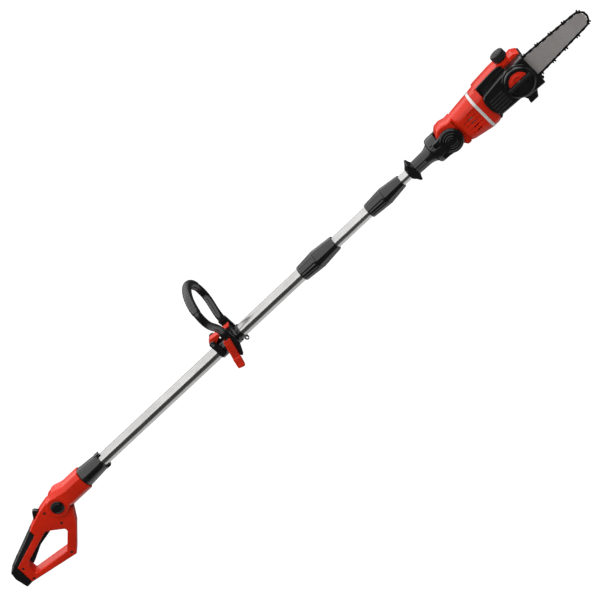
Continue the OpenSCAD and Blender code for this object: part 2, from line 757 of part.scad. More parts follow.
// The crown gear, its shaft and the chain sprocket turn as one
module drive_gear() {
  color([0.55, 0.55, 0.57]) on_pole() translate([gear_x, 0, 0]) {
    rod_y([0, 0], -34, 14, 5);
    rod_y([0, 0], -11, -pinion_r - 1.4, crown_r + 4);
    rod_y([0, 0], -11, 8 - 0.1, 9);
    for (i = [0:crown_teeth - 1]) rotate([0, (i + 0.5) * 360 / crown_teeth, 0]) {
      box([-crown_r - 3.8, -pinion_r - 1.5, -0.62], [-crown_r + 3.8, -pinion_r + 0.8, 0.62]);
    }
    difference() {
      rod_y([0, 0], bar_y - 3, bar_y + 3, 15);
      for (i = [0:6]) rotate([0, i * 360 / 7, 0]) rod_y([16.5, 0], bar_y - 9, bar_y + 9, 4.2);
    }
  }
}

module cover_outline() {
  polygon([[1357, -33], [1350, -24], [1345, -8], [1345, 10], [1349, 24], [1356, 30], [1416, 38],
           [cover_front_x, 39], [cover_front_x, -49], [1432, -46], [1414, -36.5]]);
}
module sprocket_cover() {
  color([0.05, 0.05, 0.05]) on_pole() difference() {
    union() {
      plate(-46, -22.6) cover_outline();
      intersection() {
        rod_y([stud_x, 0], -50, -44, 41);
        box([1300, -60, -60], [cover_front_x, 0, 60]);
      }
      for (i = [0:3]) box([1352, -47.2, -25 + i * 12], [1392, -45.9, -22 + i * 12]);
    }
    plate(-41, -20) polygon([[1369, -30], [1369, 30], [1420, 35], [1500, 37],
                             [1500, -40], [1430, -38], [1415, -33]]);
    rod_y([stud_x, 0], -60, -20, 4.3);
    rod_y([stud_x, 0], -60, -47.5, 9.6);
  }
}
module cover_knob() {
  color([0.06, 0.06, 0.06]) on_pole() difference() {
    union() {
      rod_y([stud_x, 0], -54, -50 - gap, cover_knob_r);
      plate(-60, -53.9) {
        translate([stud_x, 0]) difference() {
          circle(r = cover_knob_r - 3);
          circle(r = cover_knob_r - 6);
        }
        polygon([[stud_x - 33, -5], [stud_x - 33, 3], [stud_x + 33, 3], [stud_x + 33, -5]]);
      }
      rod_y([stud_x, 0], -51, -47.8, 9);
    }
    rod_y([stud_x, 0], -55.4, -40, 4 + run);
  }
}
module bar_stud() color("silver") on_pole() rod_y([stud_x, 0], -55, -7, 4);

// Half height of the bar at the station x: it swells from the tail to the belly, then tapers
bar_tail_x = 1414;
bar_tail_h = 20;
bar_belly_x = 1490;
function bar_h(x) = x < bar_belly_x
  ? bar_tail_h + (bar_half_h - bar_tail_h) * (x - bar_tail_x) / (bar_belly_x - bar_tail_x)
  : bar_half_h + (nose_r - bar_half_h) * (x - bar_belly_x) / (nose_x - bar_belly_x);
module bar_outline() {
  stations = [bar_tail_x, 1440, 1465, bar_belly_x, 1530, 1570];
  polygon(concat(
    [for (x = stations) [x, bar_h(x)]],
    [for (i = [0:18]) nose_r * [sin(i * 10), cos(i * 10)] + [nose_x, 0]],
    [for (i = [5:-1:0]) [stations[i], -bar_h(stations[i])]]));
}
module guide_bar() {
  color([0.72, 0.7, 0.68]) on_pole() difference() {
    plate(bar_y - bar_t / 2, bar_y + bar_t / 2) difference() {
      bar_outline();
      translate([stud_x - 10, -4.3]) square([30, 8.6]);
      for (s = [-1, 1]) translate([stud_x - 8, s * 13]) circle(r = 2.5);
    }
    pipe_y([nose_x, 0], bar_y - 0.75, bar_y + 0.75, nose_r + 5, 3);
  }
}
module nose_sprocket() {
  color([0.5, 0.5, 0.5]) on_pole() difference() {
    rod_y([nose_x, 0], bar_y - 0.45, bar_y + 0.45, nose_r - 2);
    rod_y([nose_x, 0], bar_y - 3, bar_y + 3, 3 + run);
    for (i = [0:9]) rotate_about([nose_x, 0], i * 36) {
      rod_y([nose_x + nose_r - 1, 0], bar_y - 3, bar_y + 3, 3.6);
    }
  }
}
module rotate_about(at, a) {
  translate([at[0], 0, at[1]]) rotate([0, a, 0]) translate([-at[0], 0, -at[1]]) children();
}

// The chain's middle line: along the bar's edge, round the nose and round the sprocket
chain_off = 2.4;
chain_r = nose_r + chain_off;
wheel_r = 18;
function chain_top() = [
  [gear_x, wheel_r], [bar_tail_x, bar_tail_h + chain_off],
  [1450, bar_h(1450) + chain_off], [bar_belly_x, bar_half_h + chain_off]];
function chain_line() = concat(
  chain_top(),
  [for (i = [0:12]) let (a = 90 - i * 15) [nose_x + chain_r * cos(a), chain_r * sin(a)]],
  [for (i = [3:-1:0]) [chain_top()[i][0], -chain_top()[i][1]]],
  [for (i = [1:5]) let (a = 270 - i * 30) [gear_x + wheel_r * cos(a), wheel_r * sin(a)]]);
chain_p = chain_line();
chain_n = len(chain_p);
function side_len(i) = norm(chain_p[(i + 1) % chain_n] - chain_p[i]);
function run_to(i) = i == 0 ? 0 : run_to(i - 1) + side_len(i - 1);
chain_run = [for (i = [0:chain_n]) run_to(i)];
chain_links = 2 * floor(chain_run[chain_n] / chain_pitch / 2);
link_step = chain_run[chain_n] / chain_links;
// Where the chain is after a distance s along it: [x, z, heading]
function chain_at(s) = let (
    i = max([for (k = [0:chain_n - 1]) chain_run[k] <= s ? k : 0]),
    p = chain_p[i], q = chain_p[(i + 1) % chain_n], t = (s - chain_run[i]) / side_len(i)
  ) [p[0] + (q[0] - p[0]) * t, p[1] + (q[1] - p[1]) * t, atan2(q[1] - p[1], q[0] - p[0])];
module links(first, step, y0, y1) {
  for (i = [first:step:chain_links - 1]) {
    c = chain_at(i * link_step);
    translate([c[0], 0, c[1]]) rotate([0, -c[2], 0]) plate(y0, y1) children();
  }
}
link_t = 1.2;
module chain_drive_links() {
  color([0.2, 0.2, 0.2]) on_pole() links(0, 2, bar_y - link_t / 2, bar_y + link_t / 2) {
    polygon([[-5, -1.6], [5, -1.6], [7, 0.6], [6, 3.4], [-6, 3.4], [-7, 0.6]]);
  }
}
module side_link() {
  for (x = [-1, 1]) translate([x * 3.6, 0.3]) circle(r = 2.3);
  translate([-3.6, -1.7]) square([7.2, 5.2]);
}
module chain_side_links() {
  color([0.12, 0.12, 0.12]) on_pole() {
    links(1, 2, bar_y + link_t / 2 + seam, bar_y + link_t * 1.5 + seam) side_link();
    links(3, 4, bar_y - link_t * 1.5 - seam, bar_y - link_t / 2 - seam) side_link();
  }
}
module chain_cutters() {
  color([0.1, 0.1, 0.1]) on_pole() links(1, 4, bar_y - link_t * 1.5 - seam, bar_y - link_t / 2 - seam) {
    side_link();
    polygon([[-5, 0], [-5.2, 7], [-1.6, 7.4], [-0.6, 1.5]]);
    polygon([[1, 1.5], [1.6, 6], [4.8, 6.2], [5.2, 0]]);
  }
}
module spike_bumper() {
  color([0.07, 0.07, 0.07]) on_pole() plate(-22.4, -19) {
    polygon([[1481, -48], [1484, -47], [1487, -43], [1484, -39], [1487.5, -35],
             [1484, -31], [1487, -27], [1484, -24], [1481, -24]]);
  }
}

lower_tube();
socket_sleeve();
yoke_left();
yoke_right();
hinge_pin();
strap_ring();
lower_lock_body();
lower_lock_collet();
inner_cable();
handle_left();
handle_right();
soft_grip();
end_cap();
power_inlet();
hinge_drum();
switch_box();
trigger_spring();
handle_screws();
trigger();
lock_off_button();
pivot_button();
lower_lock_nut();
middle_tube();
middle_guide();
upper_lock_body();
upper_lock_collet();
upper_lock_nut();
upper_tube();
upper_guide();
neck_left();
neck_right();
tilt_axle();
tilt_button();
clamp_upper();
clamp_lower();
clamp_pin();
clamp_lever();
loop_frame();
loop_grip();
loop_bolt();
loop_lever();
motor_left();
motor_right();
trim_ring();
motor_stator();
motor_rotor();
shaft_bearings();
gear_housing();
oil_tank();
oil_cap();
drive_gear();
sprocket_cover();
cover_knob();
bar_stud();
guide_bar();
nose_sprocket();
chain_drive_links();
chain_side_links();
chain_cutters();
spike_bumper();
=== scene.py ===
"""The looks of a telescoping pole saw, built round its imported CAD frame.

Lengths in the modelling calls are in millimetres, in the pole's own coordinates: x starts at the front
rim of the handle's socket, y and z at the pole's axis. at() turns them into the row frame, in metres.
"""
import json
import math

import bmesh
import bpy
from mathutils import Matrix, Vector


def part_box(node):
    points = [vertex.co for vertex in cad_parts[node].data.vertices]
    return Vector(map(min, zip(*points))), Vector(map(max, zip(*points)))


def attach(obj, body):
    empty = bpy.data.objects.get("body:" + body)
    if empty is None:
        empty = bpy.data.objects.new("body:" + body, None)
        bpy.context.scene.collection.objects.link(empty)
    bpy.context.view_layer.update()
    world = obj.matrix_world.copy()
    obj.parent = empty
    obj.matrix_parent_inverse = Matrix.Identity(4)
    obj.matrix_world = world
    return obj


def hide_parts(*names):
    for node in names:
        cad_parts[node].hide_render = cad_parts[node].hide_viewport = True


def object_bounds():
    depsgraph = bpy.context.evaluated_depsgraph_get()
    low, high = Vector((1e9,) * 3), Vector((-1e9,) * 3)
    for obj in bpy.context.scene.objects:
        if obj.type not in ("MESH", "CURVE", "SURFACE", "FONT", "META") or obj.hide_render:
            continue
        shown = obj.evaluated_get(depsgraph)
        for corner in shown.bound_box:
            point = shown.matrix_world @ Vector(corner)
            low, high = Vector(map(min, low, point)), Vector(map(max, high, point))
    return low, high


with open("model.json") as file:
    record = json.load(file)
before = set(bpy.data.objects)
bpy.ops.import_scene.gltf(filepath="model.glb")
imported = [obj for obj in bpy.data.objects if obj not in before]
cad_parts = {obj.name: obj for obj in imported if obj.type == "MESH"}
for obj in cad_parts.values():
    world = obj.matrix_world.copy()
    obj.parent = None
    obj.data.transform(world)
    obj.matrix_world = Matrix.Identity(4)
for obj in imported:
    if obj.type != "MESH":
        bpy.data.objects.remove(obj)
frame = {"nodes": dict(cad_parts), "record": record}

cad_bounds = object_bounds()
scene = bpy.context.scene

# ---- the pole's own coordinates ----
MM = 0.001
TUBE_REAR = 112
tube_low, tube_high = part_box("lower_tube")
ORIGIN = Vector((tube_low.x + TUBE_REAR * MM, 0, (tube_low.z + tube_high.z) / 2))


def at(x, y, z):
    return ORIGIN + Vector((x, y, z)) * MM


# ---- mesh helpers ----
def add_object(name, mesh):
    thing = bpy.data.objects.new(name, mesh)
    scene.collection.objects.link(thing)
    return thing


def tidy_mesh(mesh, merge=0.004):
    """Merges points that meet, and turns the faces outwards."""
    bm = bmesh.new()
    bm.from_mesh(mesh)
    bmesh.ops.remove_doubles(bm, verts=bm.verts, dist=merge * MM)
    bmesh.ops.recalc_face_normals(bm, faces=bm.faces)
    bm.to_mesh(mesh)
    bm.free()


def bake_modifiers(thing):
    mesh = bpy.data.meshes.new_from_object(thing.evaluated_get(bpy.context.evaluated_depsgraph_get()))
    thing.modifiers.clear()
    thing.data = mesh
    return thing


def solid(name, points, faces):
    mesh = bpy.data.meshes.new(name)
    mesh.from_pydata([at(*p) for p in points], [], faces)
    tidy_mesh(mesh)
    return add_object(name, mesh)


def loft(name, rings, closed=False):
    """A skin over rings of equal length; the ends are capped unless the rings close on themselves."""
    count, size = len(rings), len(rings[0])
    points = [p for ring in rings for p in ring]
    faces = []
    for i in range(count if closed else count - 1):
        for j in range(size):
            k = (j + 1) % size
            n = (i + 1) % count
            faces.append((i * size + j, i * size + k, n * size + k, n * size + j))
    if not closed:
        faces.append(tuple(range(size)))
        faces.append(tuple((count - 1) * size + j for j in range(size)))
    return solid(name, points, faces)


def lathe(name, profile, axis="x", centre=(0, 0, 0), steps=96, shape=None, closed=False):
    """A solid of revolution from points (place along the axis, radius); shape(t, angle) scales the radius."""
    rings = []
    for t, r in profile:
        ring = []
        for j in range(steps):
            a = 2 * math.pi * j / steps
            rr = r * (shape(t, a) if shape else 1)
            c, s = rr * math.cos(a), rr * math.sin(a)
            if axis == "x":
                p = (t, c, s)
            elif axis == "y":
                p = (c, t, s)
            else:
                p = (c, s, t)
            ring.append(tuple(u + v for u, v in zip(p, centre)))
        rings.append(ring)
    return loft(name, rings, closed)


def rounded(points, radius=2.0, steps=4):
    """The outline with its corners rounded; a third number at a point is that corner's own radius."""
    out = []
    n = len(points)
    for i in range(n):
        p = Vector(points[i][:2])
        r = points[i][2] if len(points[i]) > 2 else radius
        a, b = Vector(points[i - 1][:2]) - p, Vector(points[(i + 1) % n][:2]) - p
        angle = a.angle(b)
        if r <= 0 or angle > math.radians(176):
            out.append((p.x, p.y))
            continue
        reach = min(r / math.tan(angle / 2), a.length * 0.48, b.length * 0.48)
        start, end = p + a.normalized() * reach, p + b.normalized() * reach
        for k in range(steps + 1):
            t = k / steps
            q = start * (1 - t) ** 2 + p * 2 * t * (1 - t) + end * t * t
            out.append((q.x, q.y))
    return out


def arc(cx, cz, r, a0, a1, steps=24):
    return [(cx + r * math.cos(math.radians(a0 + (a1 - a0) * i / steps)),
             cz + r * math.sin(math.radians(a0 + (a1 - a0) * i / steps))) for i in range(steps + 1)]


def signed_area(loop):
    return sum(loop[i - 1][0] * loop[i][1] - loop[i][0] * loop[i - 1][1] for i in range(len(loop))) / 2


def plate(name, outline, y0, y1, bevel=2.0, steps=2, holes=(), upright="y"):
    """A side outline (x, z) made solid from y0 to y1, with rounded rims and through holes.
    With upright "z" it is a plan outline (x, y) made solid from z = y0 to y1."""
    curve = bpy.data.curves.new(name, "CURVE")
    curve.dimensions = "2D"
    curve.fill_mode = "BOTH"
    curve.extrude = ((y1 - y0) / 2 - bevel) * MM
    curve.bevel_depth = bevel * MM
    curve.bevel_resolution = steps
    curve.offset = -bevel * MM
    for k, loop in enumerate([outline, *holes]):
        if (signed_area(loop) > 0) == (k > 0):
            loop = loop[::-1]
        spline = curve.splines.new("POLY")
        spline.points.add(len(loop) - 1)
        spline.use_cyclic_u = True
        for p, (u, v) in zip(spline.points, loop):
            p.co = (u * MM, v * MM, 0, 1)
    drawn = add_object(name, curve)
    bpy.context.view_layer.update()
    mesh = bpy.data.meshes.new_from_object(drawn.evaluated_get(bpy.context.evaluated_depsgraph_get()))
    bpy.data.objects.remove(drawn)
    middle = (y0 + y1) / 2
    for v in mesh.vertices:
        u, w, t = v.co / MM
        v.co = at(u, middle - t, w) if upright == "y" else at(u, w, middle + t)
    tidy_mesh(mesh)
    return add_object(name, mesh)


def block(name, low, high, bevel=1.0, steps=2):
    """A box between two corners, with rounded edges."""
    bm = bmesh.new()
    bmesh.ops.create_cube(bm, size=1)
    for v in bm.verts:
        v.co = at(*[low[i] if v.co[i] < 0 else high[i] for i in range(3)])
    if bevel:
        bmesh.ops.bevel(bm, geom=bm.edges[:], offset=bevel * MM, segments=steps, affect="EDGES", profile=0.5)
    bmesh.ops.recalc_face_normals(bm, faces=bm.faces)
    mesh = bpy.data.meshes.new(name)
    bm.to_mesh(mesh)
    bm.free()
    return add_object(name, mesh)


def combine(thing, others, operation):
    """Adds the others to the solid, or cuts them from it, and removes them."""
    for other in others:
        step = thing.modifiers.new("combine", "BOOLEAN")
        step.operation = operation
        step.solver = "EXACT"
        step.object = other
    bake_modifiers(thing)
    for other in others:
        bpy.data.objects.remove(other)
    return thing


def cut(thing, *others):
    return combine(thing, others, "DIFFERENCE")


def join(thing, *others):
    return combine(thing, others, "UNION")


def halves(thing, near_name, far_name, parting=0.2):
    """Splits a solid at y = 0 into a near and a far shell, with a fine parting line between them."""
    out = []
    for side, name in ((-1, near_name), (1, far_name)):
        bm = bmesh.new()
        bm.from_mesh(thing.data)
        bmesh.ops.bisect_plane(bm, geom=bm.verts[:] + bm.edges[:] + bm.faces[:], dist=1e-7,
                               plane_co=(0, side * parting * MM, 0), plane_no=(0, side, 0), clear_inner=True)
        rim = [e for e in bm.edges if e.is_boundary]
        bmesh.ops.holes_fill(bm, edges=rim)
        bmesh.ops.recalc_face_normals(bm, faces=bm.faces)
        mesh = bpy.data.meshes.new(name)
        bm.to_mesh(mesh)
        bm.free()
        out.append(add_object(name, mesh))
    bpy.data.objects.remove(thing)
    return out


def place(thing, body, material, nodes=(), smooth=32):
    """Gives a finished piece its material and shading, and ties it to its CAD body."""
    thing.data.materials.clear()
    thing.data.materials.append(material)
    for p in thing.data.polygons:
        p.use_smooth = True
        p.material_index = 0
    thing.data.set_sharp_from_angle(angle=math.radians(smooth))
    if nodes:
        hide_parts(*nodes)
    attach(thing, body)
    return thing


# ---- materials ----
class Nodes:
    """A small builder for one material's node tree."""

    def __init__(self, name):
        self.material = bpy.data.materials.new(name)
        self.material.use_nodes = True
        self.tree = self.material.node_tree
        self.shader = self.tree.nodes["Principled BSDF"]
        self.coords = self.add("ShaderNodeTexCoord").outputs["Object"]

    def add(self, kind, **values):
        node = self.tree.nodes.new(kind)
        for key, value in values.items():
            setattr(node, key, value)
        return node

    def link(self, a, b):
        self.tree.links.new(a, b)

    def stretched(self, scale):
        mapping = self.add("ShaderNodeMapping")
        mapping.inputs["Scale"].default_value = scale
        self.link(self.coords, mapping.inputs["Vector"])
        return mapping.outputs["Vector"]

    def noise(self, scale, detail=3.0, stretch=(1, 1, 1), rough=0.5):
        node = self.add("ShaderNodeTexNoise")
        node.inputs["Scale"].default_value = scale
        node.inputs["Detail"].default_value = detail
        node.inputs["Roughness"].default_value = rough
        self.link(self.stretched(stretch), node.inputs["Vector"])
        return node.outputs["Fac"]

    def remap(self, value, low, high, to_low=0.0, to_high=1.0):
        node = self.add("ShaderNodeMapRange")
        for key, number in zip(("From Min", "From Max", "To Min", "To Max"), (low, high, to_low, to_high)):
            node.inputs[key].default_value = number
        self.link(value, node.inputs["Value"])
        return node.outputs["Result"]

    def maths(self, operation, a, b):
        node = self.add("ShaderNodeMath", operation=operation)
        for value, socket in zip((a, b), node.inputs):
            if isinstance(value, (int, float)):
                socket.default_value = value
            else:
                self.link(value, socket)
        return node.outputs[0]

    def mix(self, amount, a, b):
        node = self.add("ShaderNodeMix", data_type="RGBA")
        for value, key in ((amount, 0), (a, 6), (b, 7)):
            if isinstance(value, (int, float)):
                node.inputs[key].default_value = value
            elif isinstance(value, tuple):
                node.inputs[key].default_value = (*value, 1)
            else:
                self.link(value, node.inputs[key])
        return node.outputs[2]

    def bump(self, height, strength, distance, after=None):
        node = self.add("ShaderNodeBump")
        node.inputs["Strength"].default_value = strength
        node.inputs["Distance"].default_value = distance
        self.link(height, node.inputs["Height"])
        if after is not None:
            self.link(after, node.inputs["Normal"])
        return node.outputs["Normal"]

    def edges(self, radius):
        """1 on rounded and sharp edges, 0 on flat faces."""
        bevel = self.add("ShaderNodeBevel", samples=4)
        bevel.inputs["Radius"].default_value = radius
        geometry = self.add("ShaderNodeNewGeometry")
        dot = self.add("ShaderNodeVectorMath", operation="DOT_PRODUCT")
        self.link(bevel.outputs["Normal"], dot.inputs[0])
        self.link(geometry.outputs["True Normal"], dot.inputs[1])
        return self.remap(dot.outputs["Value"], 0.995, 0.80)


def plastic(name, colour, rough, grain=0.25, grain_scale=900, wear=(0.5, 0.5, 0.5), worn=0.35, coat=0.0,
            shade=0.75, bright=1.12, shine=0.5):
    """A moulded plastic: slow colour drift, fine grain, handling marks and edges rubbed smooth."""
    n = Nodes(name)
    drift = n.noise(9, 4)
    dark, light = tuple(c * shade for c in colour), tuple(min(1, c * bright) for c in colour)
    base = n.mix(n.remap(drift, 0.3, 0.7), dark, light)
    patchy = n.remap(n.noise(70, 5, rough=0.65), 0.42, 0.62)
    edge = n.maths("MULTIPLY", n.edges(0.0011), patchy)
    n.link(n.mix(n.maths("MULTIPLY", edge, worn), base, wear), n.shader.inputs["Base Color"])
    smears = n.noise(26, 6, (1, 1, 2.2), 0.7)
    spread = n.remap(smears, 0.25, 0.75, rough - 0.09, rough + 0.12)
    n.link(n.maths("SUBTRACT", spread, n.maths("MULTIPLY", edge, 0.12)), n.shader.inputs["Roughness"])
    scratches = n.remap(n.noise(260, 2, (0.35, 1, 5.0)), 0.62, 0.74)
    wavy = n.bump(n.noise(22, 2), 0.05, 0.0004)
    grained = n.bump(n.noise(grain_scale, 2), grain, 0.00012, wavy)
    n.link(n.bump(scratches, 0.06, 0.00008, grained), n.shader.inputs["Normal"])
    n.shader.inputs["Specular IOR Level"].default_value = shine
    if coat:
        n.shader.inputs["Coat Weight"].default_value = coat
        n.shader.inputs["Coat Roughness"].default_value = 0.12
    return n.material


def metal(name, colour, rough, stretch=(1, 1, 1), lines=500, relief=0.12, grime=(0.12, 0.11, 0.1), grimy=0.25,
          shade=0.82, metallic=1.0):
    """A worked metal: drawn or turned lines, patches of differing polish, and a little oil or oxide."""
    n = Nodes(name)
    n.shader.inputs["Metallic"].default_value = metallic
    brushed = n.noise(lines, 3, stretch, 0.6)
    cloudy = n.noise(14, 5, rough=0.6)
    base = n.mix(n.remap(cloudy, 0.3, 0.7), tuple(c * shade for c in colour), colour)
    base = n.mix(n.remap(brushed, 0.35, 0.75, 0, 0.25), base, tuple(c * 0.7 for c in colour))
    dirty = n.maths("MULTIPLY", n.remap(n.noise(48, 6, rough=0.7), 0.52, 0.72), grimy)
    n.link(n.mix(dirty, base, grime), n.shader.inputs["Base Color"])
    rough_lines = n.remap(brushed, 0.3, 0.7, rough - 0.06, rough + 0.1)
    n.link(n.maths("ADD", rough_lines, n.maths("MULTIPLY", dirty, 0.5)), n.shader.inputs["Roughness"])
    n.link(n.bump(brushed, relief, 0.00006, n.bump(n.noise(60, 2), 0.04, 0.0004)), n.shader.inputs["Normal"])
    return n.material


RED = (0.76, 0.024, 0.006)
red_shell = plastic("red_shell", RED, 0.30, grain=0.10, wear=(0.80, 0.16, 0.08), worn=0.3, coat=0.04,
                    shine=0.28)
red_lever = plastic("red_lever", (0.72, 0.026, 0.008), 0.32, grain=0.12, wear=(0.8, 0.20, 0.10), coat=0.04,
                    shine=0.3)
black_plastic = plastic("black_plastic", (0.004, 0.004, 0.0045), 0.24, grain=0.10, wear=(0.05, 0.05, 0.05),
                        worn=0.25, shine=0.7)
black_gloss = plastic("black_gloss", (0.0035, 0.0035, 0.004), 0.22, grain=0.06, wear=(0.05, 0.05, 0.05),
                      worn=0.25, shine=0.7)
cap_plastic = plastic("cap_plastic", (0.016, 0.015, 0.015), 0.42, grain=0.30, wear=(0.10, 0.10, 0.10),
                      shine=0.35)
inlet_plastic = plastic("inlet_plastic", (0.014, 0.014, 0.015), 0.42, grain=0.25, shine=0.35)
soft_rubber = plastic("soft_rubber", (0.005, 0.005, 0.0055), 0.34, grain=0.30, grain_scale=1300,
                      wear=(0.05, 0.05, 0.05), worn=0.3, shine=0.8)
silver_trim = plastic("silver_trim", (0.72, 0.71, 0.70), 0.28, grain=0.08, wear=(0.9, 0.9, 0.9), shade=0.92,
                      coat=0.3)
nylon = plastic("nylon", (0.55, 0.53, 0.46), 0.45)
cable = plastic("cable", (0.012, 0.012, 0.012), 0.38)
lower_tube_alu = metal("lower_tube_alu", (0.54, 0.535, 0.53), 0.18, (0.02, 1, 1), 1400, 0.08, grimy=0.15)
upper_tube_alu = metal("upper_tube_alu", (0.60, 0.595, 0.59), 0.22, (0.02, 1, 1), 1400, 0.08, grimy=0.15)
steel = metal("steel", (0.56, 0.55, 0.54), 0.30, lines=900)
screw_steel = metal("screw_steel", (0.10, 0.10, 0.11), 0.42)
gear_steel = metal("gear_steel", (0.42, 0.41, 0.40), 0.34, lines=800, grimy=0.5)
bar_steel = metal("bar_steel", (0.52, 0.485, 0.47), 0.46, (1, 1, 0.03), 1500, 0.18, grimy=0.2, metallic=0.35)
chain_steel = metal("chain_steel", (0.016, 0.015, 0.015), 0.34, lines=700, grimy=0.3,
                    grime=(0.10, 0.10, 0.10),
                    metallic=0.6)
drum_alloy = metal("drum_alloy", (0.22, 0.215, 0.21), 0.45, lines=300)
lamination = metal("lamination", (0.30, 0.28, 0.26), 0.5, (30, 0.2, 0.2), 60)
rotor_metal = metal("rotor_metal", (0.55, 0.26, 0.12), 0.35, (1, 6, 6), 120)
SLOT_MATERIALS = {m.name.split(".")[0]: m for m in (
    red_shell, red_lever, black_plastic, black_gloss, cap_plastic, inlet_plastic, soft_rubber, silver_trim,
    nylon, cable, lower_tube_alu, upper_tube_alu, steel, screw_steel, gear_steel, bar_steel, chain_steel,
    drum_alloy, lamination, rotor_metal)}

for part in frame["record"]["subparts"]:
    for slot in frame["nodes"][part["node"]].material_slots:
        slot.material = SLOT_MATERIALS[part["material_slot"]]

# ---- rear handle and its tilt hinge ----
HUB = (-162, 0)


def sector(centre, r, a0, a1):
    return [centre, *arc(*centre, r, a0, a1)]


def disc(name, centre, r, y0, y1, bevel=0.0, steps=64):
    """A round plate about a Y axis."""
    if not bevel:
        profile = [(y0, r), (y1, r)]
    else:
        profile = [(y0, r - bevel), (y0 + bevel * 0.3, r - bevel * 0.3), (y0 + bevel, r),
                   (y1 - bevel, r), (y1 - bevel * 0.3, r - bevel * 0.3), (y1, r - bevel)]
    return lathe(name, profile, "y", (centre[0], 0, centre[1]), steps)


def chamfered(x, w, top, bottom, c):
    """A cross-section with cut corners at the station x."""
    return [(x, w, top - c), (x, w - c, top), (x, c - w, top), (x, -w, top - c),
            (x, -w, c - bottom), (x, c - w, -bottom), (x, w - c, -bottom), (x, w, c - bottom)]


def soften(thing, width, steps=3, angle=25):
    step = thing.modifiers.new("soften", "BEVEL")
    step.width = width * MM
    step.segments = steps
    step.limit_method = "ANGLE"
    step.angle_limit = math.radians(angle)
    return bake_modifiers(thing)


def build_yoke():
    body = loft("yoke", [chamfered(-60.2, 27.4, 27.4, 27.4, 10.5), chamfered(-61.5, 28.3, 28.3, 28.3, 11),
                         chamfered(-113, 28.3, 28.3, 28.3, 11), chamfered(-120, 28.4, 29.6, 28.4, 11),
                         chamfered(-139, 28.9, 36.2, 28.6, 13), chamfered(-148, 28.9, 36.6, 28.8, 13),
                         chamfered(-164, 28.9, 28.7, 28.7, 8)])
    soften(body, 1.2)
    join(body, disc("boss", HUB, 29, -29, 29, 2.0, 96))
    cut(body, disc("slot", HUB, 28, -20, 20), plate("slot_low", sector(HUB, 40, -130, 24), -20, 20, 0),
        plate("slot_rear", sector(HUB, 90, 117, 245), -20, 20, 0))
    cut(body, lathe("bore", [(-113, 17.15), (-59, 17.15)], steps=64),
        disc("recess", HUB, 18.4, -40, -24), disc("recess_far", HUB, 18.4, 24, 40),
        disc("pin_hole", HUB, 8.1, -30, 30, steps=48))
    cut(body, lathe("groove", [(-30.5, 22.2), (-30.5, 25.2), (-28.2, 24.4), (-28.2, 23.0)], "y", (*HUB, 0),
                    96, closed=True),
        lathe("groove_far", [(30.5, 22.2), (30.5, 25.2), (28.2, 24.4), (28.2, 23.0)], "y", (*HUB, 0),
              96, closed=True))
    near, far = halves(body, "yoke_shell_near", "yoke_shell_far")
    place(near, "lower_pole", red_shell, ["yoke_left"])
    place(far, "lower_pole", red_shell, ["yoke_right"])


def handle_outline():
    hub = arc(*HUB, 27, -25, 115, 20)
    return rounded([(-180, 27, 3), (-214, 20, 6), (-250, 8, 6), (-272, -0.5, 1), (-273.3, -18, 1),
                    (-380.9, -53, 1), (-387.2, -111, 1.5), (-241, -137, 5), (-175, -77, 8),
                    (-141, -33, 8)]) + hub


def finger_hole():
    return rounded([(-231, -41, 6), (-204, -63, 7), (-205, -72, 5), (-252, -113, 7), (-362, -100, 5),
                    (-359, -85, 3), (-357, -73, 4), (-345, -61, 3), (-246, -31, 5)])


def build_handle():
    body = plate("handle", handle_outline(), -19, 19, 2.6, 3, [finger_hole()])
    pocket = [(-233, -44), (-228, -28), (-234, -2), (-262, -8), (-268, -24), (-350, -47), (-360, -70),
              (-246, -44)]
    button_slot = [(-243, -20), (-249, 20), (-210, 30), (-217, -14)]
    cut(body, plate("pocket", pocket, -8.4, 8.4, 0), plate("button_slot", button_slot, -6.4, 6.4, 0))
    cut(body, disc("drum_room", HUB, 27.2, -12.3, 12.3),
        plate("lobe_room", sector(HUB, 40.5, -122, -14), -12.3, 12.3, 0),
        disc("pin_room", HUB, 8.4, -30, 30, steps=48))
    screws = [(-196, -44), (-372, -66), (-376, -106), (-246, -124), (-204, 8)]
    cut(body, *[lathe("screw_well", [(-20, 4.6), (-18.2, 3.8), (-16.2, 3.7)], "y", (x, 0, z), 32)
                for x, z in screws])
    near, far = halves(body, "handle_shell_near", "handle_shell_far")
    place(near, "rear_handle", red_shell, ["handle_left"])
    place(far, "rear_handle", red_shell, ["handle_right"])


def build_grip():
    """The soft back of the grip, with shallow cross ribs."""
    ribs = 15
    top = []
    for i in range(ribs * 4 + 1):
        t = i / (ribs * 4)
        lift = -0.35 - 0.55 * (0.5 + 0.5 * math.cos(2 * math.pi * t * ribs)) if 0.1 < t < 0.93 else -0.2
        top.append((-272.6 - 106.2 * t + lift * -0.35, -0.3 - 39.8 * t + lift))
    grip = plate("soft_grip_back", top + [(-380.4, -52.2), (-273.6, -17.9)], -19, 19, 0.0)
    soften(grip, 4.0, 3, 60)
    place(grip, "rear_handle", soft_rubber, ["soft_grip"])
    cap_line = rounded([(-379.6, -40.4, 1), (-405, -51, 6), (-411.6, -74, 9), (-408.6, -112.6, 5),
                        (-387.6, -111, 1), (-381.4, -53, 1)])
    cap = plate("grip_end_cap", cap_line, -19, 19, 2.4, 3)
    cut(cap, block("recess", (-430, -14, -104), (-391, 14, -80), 1.5))
    cut(cap, *[block("cap_groove", (x - 1.2, -22, -106), (x, -18.3, -58), 0) for x in (-392, -396, -400)])
    place(cap, "rear_handle", black_plastic, ["end_cap"])


